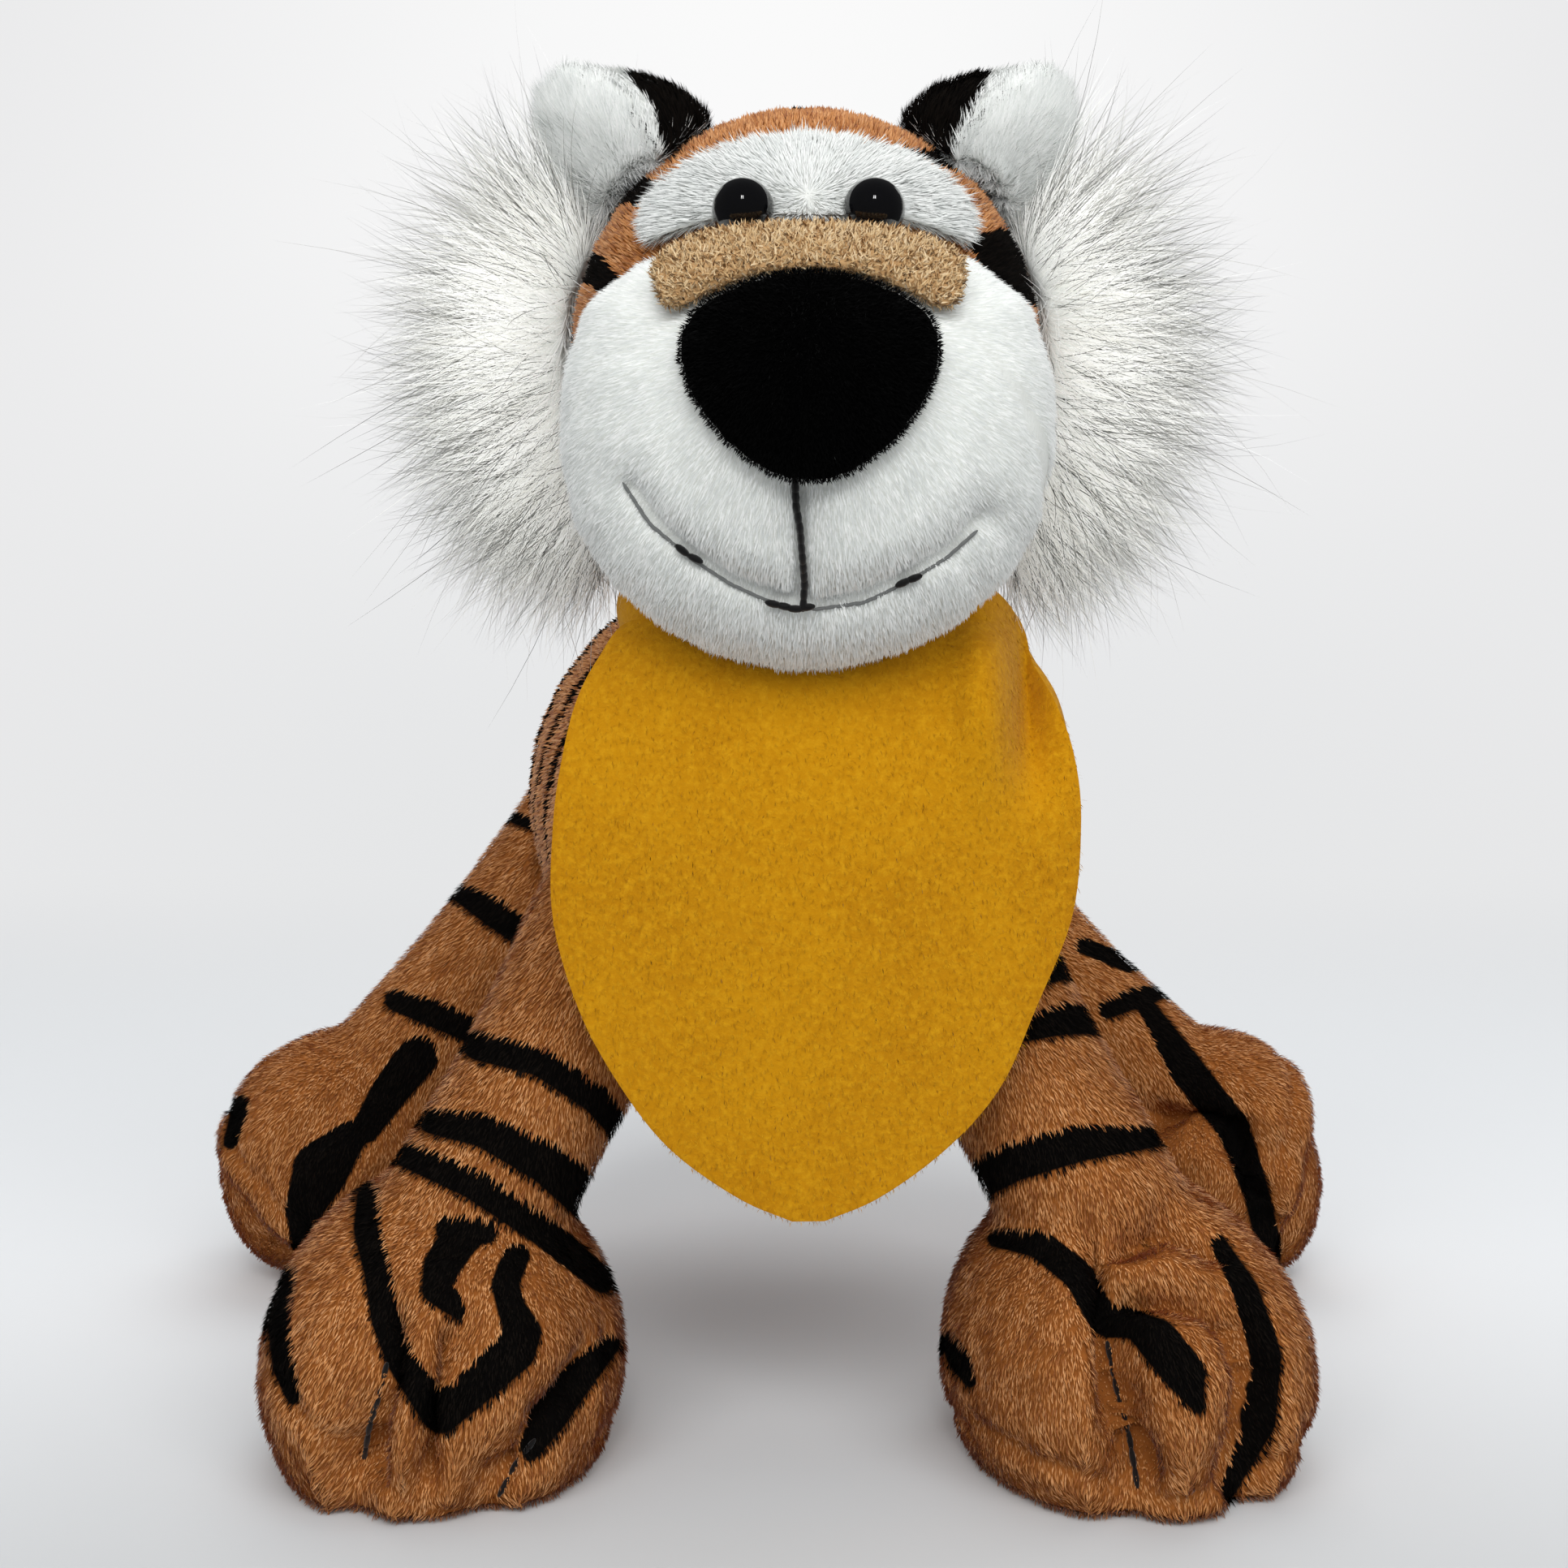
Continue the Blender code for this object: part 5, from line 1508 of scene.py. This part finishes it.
    def skull(self, muzzle: StuffedSkin) -> None:
        """The striped head behind the muzzle."""
        piece = StuffedSkin(
            "head_cloth",
            ("head_skin", "head_stuffing"),
            "head",
            "orange_plush",
            ORANGE_BACKING,
            Pile(Dye.ORANGE, Dye.BLACK, density=5.6e6, width=0.00021, seed=23),
            stubs=((self.middle - Vector((0, 0, 0.036)), self.middle - Vector((0, 0, 0.02)), 0.018),),
        )
        piece.shape()
        inside = self.covered(muzzle.skin, points_of(piece.skin.data))
        piece.puff(inside)
        points = points_of(piece.skin.data)
        off = points - np.array(self.middle)
        stripe = self.face_marks.reach(points) / DYE_EDGE_PX
        stripe[off[:, 1] > 0.004] = UNDYED
        angle = np.degrees(np.arctan2(off[:, 1], off[:, 2]))
        side = np.abs(off[:, 0])
        for number, spot in enumerate(self.crown_stripes_deg):
            reach = np.clip(side / (self.crown_reach - 0.002 * number), 0, 1)
            wide = self.crown_half * (1 - reach**2)
            away = np.radians(np.abs(angle - spot + 0.4 * side / MM)) * self.crown_radius
            stripe = np.maximum(stripe, np.where(off[:, 1] > 0.002, (wide - away) / MM, UNDYED))
        comb = towards(points, self.nose_middle)
        piece.dress(comb, stripe, 1 - inside)
        piece.fit()

    def covered(self, over: bpy.types.Object, points: np.ndarray) -> np.ndarray:
        """One where a point lies inside another skin, from the way its first face ahead is turned."""
        tree = tree_of(over)
        ahead = Vector((0, -1, 0))
        found = np.zeros(len(points))
        for k, point in enumerate(points):
            place, normal, _, _ = tree.ray_cast(Vector(point), ahead)
            found[k] = place is not None and normal.dot(ahead) > 0
        return found

    def panel(
        self, name: str, node: str, backing: KnitBacking, slot: str, pile: Pile, **how: float
    ) -> StuffedSkin:
        """A small padded panel with its pile still to grow."""
        piece = StuffedSkin(name, (node,), "head", slot, backing, pile, **how)
        piece.shape()
        return piece

    def patch(self) -> None:
        """The white patch that the eyes sit on, with a fringe that fans out over the orange."""
        pile = Pile(
            Dye.WHITE,
            density=20.0e6,
            length=0.0024,
            width=0.00013,
            lift=0.7,
            lay=1.1,
            tuft=0.9,
            seed=31,
        )
        how = {"voxel": 0.0006, "rounds": 8, "inset": 0.0003}
        piece = self.panel("eye_patch_cloth", "eye_patch", WHITE_BACKING, "white_plush", pile, **how)
        self.meet(piece, "nose_bridge", self.patch_reach)
        points = points_of(piece.skin.data)
        low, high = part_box("eye_patch")
        behind, above = self.patch_root
        root = Vector(((low.x + high.x) / 2, high.y - behind, low.z + above))
        far = ramp(np.linalg.norm((points - np.array(root))[:, ::2], axis=1), 0.0, self.patch_fan)
        piece.dress(towards(points, root), None, None, 0.55 + 0.45 * far)
        piece.fit()

    def meet(self, piece: StuffedSkin, node: str, reach: float) -> None:
        """Draws the near edge of a panel up to the piece that it is sewn against."""
        mesh = piece.skin.data
        points = points_of(mesh)
        edge = tree_of(frame["nodes"][node])
        for k, point in enumerate(points):
            place, _, _, far = edge.find_nearest(Vector(point))
            share = 0.85 * min(max(1.5 - far / reach, 0.0), 1.0)
            points[k] += share * (np.array(place) - point)
        set_points(mesh, points)
        piece.relax(4)

    def bridge(self) -> None:
        """The curly strip over the nose."""
        pile = Pile(
            Dye.TAN,
            fibre=Fibre.CURL,
            density=15.0e6,
            length=0.0008,
            width=0.00023,
            lay=0.1,
            tuft=2.8,
            tuft_size=0.0012,
            jitter=1.3,
            curl=1.5,
            seed=33,
        )
        how = {"voxel": 0.0006, "rounds": 10, "inset": 0.0002}
        piece = self.panel("nose_bridge_cloth", "nose_bridge", TAN_BACKING, "tan_fleece", pile, **how)
        self.meet(piece, "nose", self.bridge_reach)
        piece.dress(towards(points_of(piece.skin.data), self.nose_middle))
        piece.fit()

    def nose(self) -> None:
        """The padded nose in black brushed cloth."""
        pile = Pile(Dye.NAP, density=16.0e6, length=0.0009, width=0.00015, lay=0.6, jitter=0.7, seed=35)
        how = {"voxel": 0.0007, "rounds": 14, "inset": 0.0002}
        piece = self.panel("nose_cloth_pad", "nose", NOSE_CLOTH, "nose_cloth", pile, **how)
        points = points_of(piece.skin.data)
        piece.dress(towards(points, self.nose_middle + Vector((0, 0.01, 0.004))))
        piece.fit()

    def eyes(self) -> None:
        """Two polished black beads on their shanks, and the washers that lock them."""
        bead = material_of(MouldedPlastic("polished_bead_black", "#070709", 0.06, 0.03, 0.6))
        washer = material_of(MouldedPlastic("nylon_washer_natural", "#DEDDD6", 0.4, 0.15))
        front, radius = self.eye_dome
        dome = [
            (front * (1 - math.sin(a)), radius * math.cos(a)) for a in np.linspace(0, math.pi / 2, 14)
        ]
        for side in ("left", "right"):
            node = frame["nodes"][f"eye_{side}"]
            points = points_of(node.data)
            spread = points - points.mean(0)
            axis = Vector(np.linalg.svd(spread, full_matrices=False)[2][0])
            if axis.y > 0:
                axis.negate()
            along = spread @ np.array(axis)
            middle = Vector(points.mean(0))
            tip = middle + axis * float(along.max())
            made = self.turned(f"eye_bead_{side}", tip, -axis, [*self.eye_profile, *dome])
            made.data.materials.append(bead)
            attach(made, "head")
            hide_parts(f"eye_{side}")
            disc = frame["nodes"][f"eye_washer_{side}"]
            for socket in disc.material_slots:
                socket.material = washer

    def turned(self, name: str, start: Vector, axis: Vector, steps: list) -> bpy.types.Object:
        """A round solid: each step is a distance along the axis and a radius."""
        across = axis.orthogonal().normalized()
        up = axis.cross(across)
        count = 40
        points, faces = [], []
        for far, radius in steps:
            for k in range(count):
                a = math.tau * k / count
                spoke = across * math.cos(a) + up * math.sin(a)
                points.append(start + axis * far + spoke * max(radius, 1e-5))
        for low in range(0, (len(steps) - 1) * count, count):
            for k in range(count):
                n = (k + 1) % count
                faces.append((low + k, low + n, low + count + n, low + count + k))
        faces.append(tuple(range(count)))
        faces.append(tuple(range((len(steps) - 1) * count, len(steps) * count)))
        mesh = bpy.data.meshes.new(name)
        mesh.from_pydata(points, [], faces)
        turn_outward(mesh)
        mesh.shade_smooth()
        return linked(name, mesh)

    def ears(self) -> None:
        """White cups lined behind with black, filled with pile and fringed round their edges."""
        lean, turn = math.radians(self.ear_lean_deg), math.radians(self.ear_turn_deg)
        lining = Pile(Dye.BLACK, Dye.WHITE, density=10.0e6, length=0.0018, width=0.00016, seed=41)
        filling = replace(
            lining,
            ground=Dye.WHITE,
            density=26.0e6,
            length=self.ear_pile,
            lift=0.8,
            lay=0.8,
            tuft=0.8,
            tuft_size=0.004,
            jitter=0.3,
            through=0.5,
        )
        how = {"voxel": 0.0006, "rounds": 8, "inset": 0.0002}
        for side, sign in (("left", 1), ("right", -1)):
            out = Vector((sign * math.cos(lean), 0, -math.sin(lean)))
            facing = np.array(out * math.sin(turn) + Vector((0, -math.cos(turn), 0)))
            low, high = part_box(f"ear_back_{side}")
            behind, below = self.ear_root
            root = Vector(((low.x + high.x) / 2, high.y - behind, low.z - below))
            node = f"ear_front_{side}"
            front = self.panel(f"{node}_cloth", node, WHITE_BACKING, "white_plush", filling, **how)
            coat = self.dome(front, facing)
            self.fan(front, root, np.full(len(coat), UNDYED), coat)
            node = f"ear_back_{side}"
            back = self.panel(f"{node}_cloth", node, BLACK_BACKING, "black_plush", lining, **how)
            white = self.white_edge(back, sign)
            self.fan(back, root, white, np.ones(len(white)))

    def dome(self, piece: StuffedSkin, facing: np.ndarray) -> np.ndarray:
        """Puffs an ear's front panel out of its cup.

        Args:
            piece: the panel.
            facing: the way that the cup opens.

        Returns:
            The share of the pile that each point has.
        """
        mesh = piece.skin.data
        points, turned = points_of(mesh), normals_of(mesh) @ facing
        open_side = np.clip(turned * 3, 0, 1)
        height = points @ facing
        rim = np.percentile(height, 96)
        flat = points - np.outer(height, facing)
        off = np.linalg.norm(flat - flat[open_side > 0.6].mean(0), axis=1)
        dome = np.clip(1 - (off / np.percentile(off, 92)) ** 2, 0, 1)
        rise = open_side * (rim - height + self.ear_dome * dome)
        set_points(mesh, points + np.outer(rise, facing))
        piece.relax(10)
        return np.clip(turned * 2 + 1, 0, 1)

    def white_edge(self, piece: StuffedSkin, sign: int) -> np.ndarray:
        """Where the black lining turns white towards the ear's outer edge, as the photograph has it."""
        mesh = piece.skin.data
        places = CAMERA.pixels(points_of(mesh))
        edge = next((rows, spots) for which, rows, spots in self.dark_edges if which == sign)
        outside = (places[:, 0] - np.interp(places[:, 1], *edge)) * sign
        return np.where(normals_of(mesh)[:, 1] < 0.1, outside / DYE_EDGE_PX, UNDYED)

    def fan(self, piece: StuffedSkin, root: Vector, stripe: np.ndarray, coat: np.ndarray) -> None:
        """Blunts an ear panel's tip and grows its pile, fanned out from the ear's root."""
        mesh = piece.skin.data
        points = points_of(mesh)
        along = towards(points, root)
        far = np.linalg.norm(points - np.array(root), axis=1)
        limit = np.percentile(far, 99.5) * self.ear_tip
        short = np.where(far > limit, limit + (far - limit) * self.ear_blunt, far)
        set_points(mesh, points + along * (short - far)[:, None])
        piece.dress(along, stripe, coat)
        piece.fit()

    def ruffs(self) -> None:
        """The cheek strips: a soft coat of fine fur that fans out round the face, and a few long wisps."""
        for side, sign in (("left", 1), ("right", -1)):
            pile = Pile(
                Dye.LONG,
                fibre=Fibre.LONG,
                density=9.8e6,
                length=0.0150,
                width=0.0001,
                lift=0.45,
                lay=1.0,
                tuft=1.0,
                tuft_size=0.008,
                jitter=0.35,
                vary=0.6,
                curl=1.2,
                through=0.8,
                seed=51,
            )
            node = f"ruff_{side}"
            how = {"voxel": 0.001, "rounds": 12, "inset": 0.0012}
            piece = self.panel(f"{node}_cloth", node, WHITE_BACKING, "long_fur", pile, **how)
            points = points_of(piece.skin.data)
            aside, above = self.ruff_hub
            hub = self.middle + Vector((sign * aside, 0.0, above))
            comb = towards(points, hub)
            comb[:, 1] += 0.1
            comb[:, 2] -= 0.12
            out = (points[:, 0] - self.middle.x) * sign / MM
            coat = ramp(out, self.ruff_start_mm, 1.0)
            crest = ramp(points[:, 2] - self.middle.z, *self.ruff_crest)
            comb[:, 2] += 0.9 * crest
            tall = 0.8 + 0.2 * ramp(out, *self.ruff_full_mm) + 0.25 * crest
            piece.dress(comb, None, coat, tall)
            long = {"density": 0.22e6, "length": 0.0245, "width": 0.00009}
            wisps = replace(pile, **long, jitter=0.5, vary=0.45, seed=57)
            piece.wisps = wisps.grow(piece.skin, f"{node}_wisps")
            piece.fit()

    def mouth(self, muzzle: StuffedSkin) -> None:
        """The embroidered line under the nose, the two thread ends in the smile, and grey thread sunk along
        the smile as painted shade in its crease, partly a real stitch.
        """
        tree = tree_of(muzzle.skin)
        rows = {
            "mouth_line": ((985, 592), (986, 620), (987, 650), (987, 680), (988, 712), (988, 742)),
            "mouth_hook": ((952, 741), (966, 746), (980, 748), (992, 746)),
            "smile_end_right": ((840, 680), (848, 686), (856, 690)),
            "smile_end_left": ((1112, 718), (1119, 715), (1126, 711)),
            # The sunk grey rows are painted shade along the smile's crease, partly the real stitch that
            # pulls it in.
            "smile_sunk_right": ((772, 602), (800, 645), (850, 688), (900, 720), (940, 738), (962, 745)),
            "smile_sunk_left": ((1010, 749), (1065, 742), (1120, 716), (1165, 688), (1196, 660)),
        }
        for name, path in rows.items():
            sunk = "sunk" in name
            spots = CAMERA.on_surface(tree, path, 0.0004 if sunk else 0.0012)
            if len(spots) < 2:
                continue
            thread, radius = (GREY_STITCH_AND_SHADE_THREAD, 0.00025) if sunk else (BLACK_THREAD, 0.0005)
            row = StitchRow(thread, pitch=0.0013, length=0.0023, radius=radius).sew(name, spots)
            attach(row, "head")


# --- Studio ------------------------------------------------------------------------------------


@dataclass
class Studio:
    """A pale sweep and soft light, sizes in metres."""

    reach: float = 3.0
    rise: float = 2.2
    bend: float = 0.8
    bend_start: float = 0.5
    sky: float = 0.55
    sky_in_gloss: float = 0.06
    sky_seen: float = 0.87
    sky_tone: str = "#F4F5F6"
    # Painted shade: the floor's colour near the camera, where less light falls on it.
    near_shade_tone: str = "#B4B6B7"
    far_tone: str = "#E9EBED"
    low_glow: str = "#E5E6E7"
    high_glow: str = "#FAFAFA"
    side_glow: str = "#E9E9EA"
    near_shade_range: tuple[float, float] = (-0.24, 0.02)
    side_range: tuple[float, float] = (0.0, 0.75)
    glow_range: tuple[float, float] = (0.0, 0.42)
    behind_range: tuple[float, float] = (0.1, 0.55)
    around_range: tuple[float, float] = (0.45, 1.0)
    lamps: tuple["SoftBox", ...] = ()

    def sweep(self) -> None:
        """The floor that curves up into a backdrop."""
        profile = [(-self.reach, 0.0), (self.bend_start, 0.0)]
        for a in np.linspace(0, math.pi / 2, 17)[1:]:
            out, up = self.bend * math.sin(a), self.bend * (1 - math.cos(a))
            profile.append((self.bend_start + out, up))
        profile.append((self.bend_start + self.bend, self.rise))
        points = [(x, y, z) for x in (-self.reach, self.reach) for y, z in profile]
        count = len(profile)
        faces = [(k, k + count, k + count + 1, k + 1) for k in range(count - 1)]
        mesh = bpy.data.meshes.new("studio_sweep")
        mesh.from_pydata(points, [], faces)
        mesh.shade_smooth()
        mesh.materials.append(self.paper())
        made = linked("studio_sweep", mesh)
        made.visible_glossy = False

    def paper(self) -> bpy.types.Material:
        """Matt white paper with painted shade that darkens it towards the camera; the backdrop part of it
        glows evenly to the camera.
        """
        made, shader = new_material("matt_paper_white", {"Roughness": 0.85, "Specular IOR Level": 0.2})
        tree = made.node_tree
        place = add(tree, "ShaderNodeTexCoord", take="Object")
        x, y, z = add(tree, "ShaderNodeSeparateXYZ", {0: place}).outputs
        side = add(tree, "ShaderNodeMath", {0: x}, 0, operation="ABSOLUTE")
        off = add(tree, "ShaderNodeVectorMath", {0: place}, "Value", operation="LENGTH")
        near, across, height, behind, around = (
            add(
                tree,
                "ShaderNodeMapRange",
                {0: value, 1: low, 2: high},
                0,
                interpolation_type="SMOOTHSTEP",
            )
            for value, (low, high) in (
                (y, self.near_shade_range),
                (side, self.side_range),
                (z, self.glow_range),
                (y, self.behind_range),
                (off, self.around_range),
            )
        )
        # Painted shade: the paper's colour darkens towards the camera in place of light falling off across
        # the floor.
        tones = {0: near, 6: linear(self.near_shade_tone), 7: linear(self.far_tone)}
        tint = add(tree, "ShaderNodeMix", tones, 2, data_type="RGBA")
        tree.links.new(tint, shader.inputs["Base Color"])
        tones = {0: height, 6: linear(self.low_glow), 7: linear(self.high_glow)}
        glow = add(tree, "ShaderNodeMix", tones, 2, data_type="RGBA")
        tones = {0: across, 6: glow, 7: linear(self.side_glow)}
        edge = add(tree, "ShaderNodeMix", tones, 2, data_type="RGBA")
        light = add(tree, "ShaderNodeEmission", {0: edge, 1: 1.0}, 0)
        far = add(tree, "ShaderNodeMath", {0: behind, 1: around}, 0, operation="MAXIMUM")
        seen = add(tree, "ShaderNodeLightPath", take="Is Camera Ray")
        share = add(tree, "ShaderNodeMath", {0: far, 1: seen}, 0, operation="MULTIPLY")
        both = add(tree, "ShaderNodeMixShader", {0: share, 1: shader.outputs[0], 2: light}, 0)
        tree.links.new(both, tree.nodes["Material Output"].inputs[0])
        return made

    def lights(self) -> None:
        """Broad lamps above and in front, a narrow one that glints in the eyes, and an even sky."""
        world = bpy.data.worlds.new("soft_sky")
        bpy.context.scene.world = world
        world.use_nodes = True
        tree = world.node_tree
        sky = tree.nodes["Background"]
        sky.inputs[0].default_value = linear(self.sky_tone)
        rays = add(tree, "ShaderNodeLightPath").outputs
        unseen = {0: rays["Is Glossy Ray"], 3: self.sky, 4: self.sky_in_gloss}
        dim = add(tree, "ShaderNodeMapRange", unseen, 0)
        seen = {0: rays["Is Camera Ray"], 3: dim, 4: self.sky_seen}
        tree.links.new(add(tree, "ShaderNodeMapRange", seen, 0), sky.inputs[1])
        for lamp in self.lamps:
            lamp.build()
        bpy.context.scene.view_settings.view_transform = "Standard"


@dataclass(frozen=True)
class SoftBox:
    """A rectangular lamp that points at the toy, sizes in metres; polished things show only a glint."""

    name: str
    place: tuple[float, float, float]
    power: float
    width: float
    height: float
    glint: bool = False
    aim: tuple[float, float, float] = (0.0, -0.03, 0.09)

    def build(self) -> None:
        """Adds the lamp."""
        data = bpy.data.lights.new(self.name, "AREA")
        data.shape = "RECTANGLE"
        data.energy = self.power
        data.size = self.width
        data.size_y = self.height
        made = bpy.data.objects.new(self.name, data)
        made.location = self.place
        made.rotation_euler = (Vector(self.aim) - Vector(self.place)).to_track_quat("-Z", "Y").to_euler()
        made.visible_glossy = self.glint
        bpy.context.scene.collection.objects.link(made)


STUDIO_LAMPS = (
    SoftBox("front_box", (0.06, -0.95, 0.8), 10.5, 1.7, 0.6),
    SoftBox("top_box", (0.1, 0.2, 1.1), 3.4, 0.9, 0.9),
    SoftBox("eye_strip_left", (0.035, -0.75, 0.60), 0.3, 0.02, 0.16, True),
    SoftBox("eye_strip_right", (-0.035, -0.75, 0.60), 0.3, 0.02, 0.16, True),
)


FRONT_RIGHT = Leg(
    "front",
    "right",
    Marks(
        (
            ((552, 1512, 12), (597, 1518, 12)),
            ((589, 1288, 15), (667, 1308, 15), (734, 1353, 15), (783, 1411, 12)),
            ((533, 1381, 13), (596, 1392, 18), (675, 1433, 23), (749, 1496, 26)),
            ((497, 1420, 13), (585, 1459, 16), (671, 1517, 16), (742, 1578, 12)),
            ((455, 1470, 11), (453, 1515, 14), (466, 1567, 14), (475, 1627, 14), (496, 1679, 15)),
            ((496, 1679, 15), (540, 1742, 18)),
            ((544, 1746, 17), (593, 1701, 21), (634, 1664, 23), (645, 1641, 19), (630, 1612, 14)),
            ((630, 1612, 14), (622, 1582, 13), (636, 1548, 13)),
            ((570, 1520, 21), (544, 1560, 19), (537, 1589, 14), (556, 1604, 12), (567, 1619, 5)),
            ((751, 1656, 10), (712, 1697, 17), (675, 1746, 20), (652, 1787, 10)),
            ((358, 1567, 6), (343, 1627, 11), (351, 1686, 11), (362, 1723, 6)),
        ),
        spread=4.0,
    ),
    Marks(
        (
            ((480, 1615, 1), (473, 1701, 2), (457, 1740, 2), (449, 1780, 2), (446, 1815, 1)),
            ((561, 1640, -4), (553, 1701, -2), (537, 1765, 0), (526, 1840, 0)),
            ((748, 1636, -3), (709, 1709, 0), (653, 1780, 2), (621, 1828, 2), (607, 1872, 2)),
        )
    ),
    Marks(
        (
            ((340, 1692, 0), (374, 1745, 0), (437, 1792, 0), (469, 1836, 0)),
            ((469, 1836, 0), (509, 1862, 0), (597, 1874, 0), (660, 1872, 0), (705, 1850, 0)),
        )
    ),
    (
        ((474, 1690), (466, 1722), (456, 1750), (449, 1790)),
        ((652, 1783), (636, 1806), (621, 1832), (612, 1862)),
    ),
)
FRONT_LEFT = Leg(
    "front",
    "left",
    Marks(
        (
            ((1280, 1196, 18), (1345, 1182, 15)),
            ((1260, 1270, 13), (1312, 1254, 20), (1372, 1260, 13)),
            ((1180, 1466, 23), (1250, 1430, 24), (1330, 1408, 22), (1422, 1400, 13)),
            ((1228, 1525, 11), (1280, 1532, 17), (1330, 1572, 18), (1362, 1632, 17)),
            ((1375, 1615, 9), (1425, 1650, 25), (1460, 1692, 25), (1478, 1740, 5)),
            ((1500, 1530, 9), (1535, 1590, 15), (1560, 1670, 18), (1552, 1752, 19), (1512, 1838, 9)),
            ((1168, 1650, 9), (1182, 1675, 14), (1196, 1702, 7)),
        ),
        spread=1.5,
    ),
    Marks(
        (
            ((1342, 1533, -3), (1361, 1597, 1), (1370, 1660, 2), (1386, 1756, 2), (1405, 1820, 2)),
            ((1388, 1592, -3), (1437, 1584, -1), (1488, 1597, -1), (1527, 1629, -1), (1549, 1692, -1)),
            ((1549, 1692, -1), (1539, 1763, 0), (1520, 1826, 0)),
            ((1375, 1530, -4), (1437, 1504, -3), (1495, 1530, -5)),
        )
    ),
    Marks(
        (
            ((1184, 1739, 0), (1227, 1769, 0), (1271, 1795, 0), (1335, 1816, 0), (1393, 1841, 0)),
            ((1393, 1841, 0), (1437, 1853, 0), (1514, 1840, 0), (1565, 1808, 0), (1591, 1788, 0)),
            ((1591, 1788, 0), (1622, 1750, 0)),
        )
    ),
    (((1368, 1665), (1378, 1715), (1390, 1770), (1400, 1820)),),
)
HIND_RIGHT = Leg(
    "hind",
    "right",
    Marks(
        (
            ((636, 1008, 7), (676, 1022, 8)),
            ((566, 1098, 12), (610, 1124, 18), (656, 1158, 16)),
            ((488, 1232, 13), (540, 1250, 17), (594, 1276, 14)),
            ((516, 1300, 24), (480, 1345, 22), (450, 1392, 16)),
            ((430, 1402, 20), (396, 1440, 34), (374, 1490, 22), (368, 1532, 7)),
            ((298, 1360, 10), (284, 1407, 8)),
        ),
        spread=1.5,
    ),
    Marks(),
    Marks(),
    (),
    ((Vector((-0.0835, -0.001, 0.0215)), Vector((0.0143, 0.0175, 0.0207))),),
    density=5.6e6,
    toe_comb=(0, -0.8, -0.4),
)
HIND_LEFT = Leg(
    "hind",
    "left",
    Marks(
        (
            ((1332, 1164, 9), (1390, 1188, 9)),
            ((1366, 1242, 12), (1405, 1227, 12), (1440, 1220, 7)),
            ((1412, 1240, 10), (1460, 1315, 20), (1520, 1390, 19), (1548, 1470, 15), (1565, 1540, 14)),
            ((1565, 1540, 14), (1566, 1572, 7)),
        ),
        spread=1.5,
    ),
    Marks((((1418, 1372, 0), (1463, 1361, 2), (1514, 1375, 2), (1542, 1420, 0), (1560, 1490, -2)),)),
    Marks(),
    (),
    ((Vector((0.0915, -0.003, 0.0168)), Vector((0.0085, 0.0120, 0.0158))),),
    density=5.6e6,
    toe_comb=(0, -0.8, -0.4),
)


def main() -> None:
    """Builds the tiger piece by piece, then the studio and the camera."""
    logging.basicConfig(level=logging.INFO, format="%(name)s: %(message)s")
    CAMERA.build()
    Torso().build()
    for leg in (FRONT_RIGHT, FRONT_LEFT, HIND_RIGHT, HIND_LEFT):
        leg.build()
    Tail().build()
    Bandana().build()
    Head().build()
    studio = Studio(lamps=STUDIO_LAMPS)
    studio.sweep()
    studio.lights()


if __name__ == "__main__":
    main()
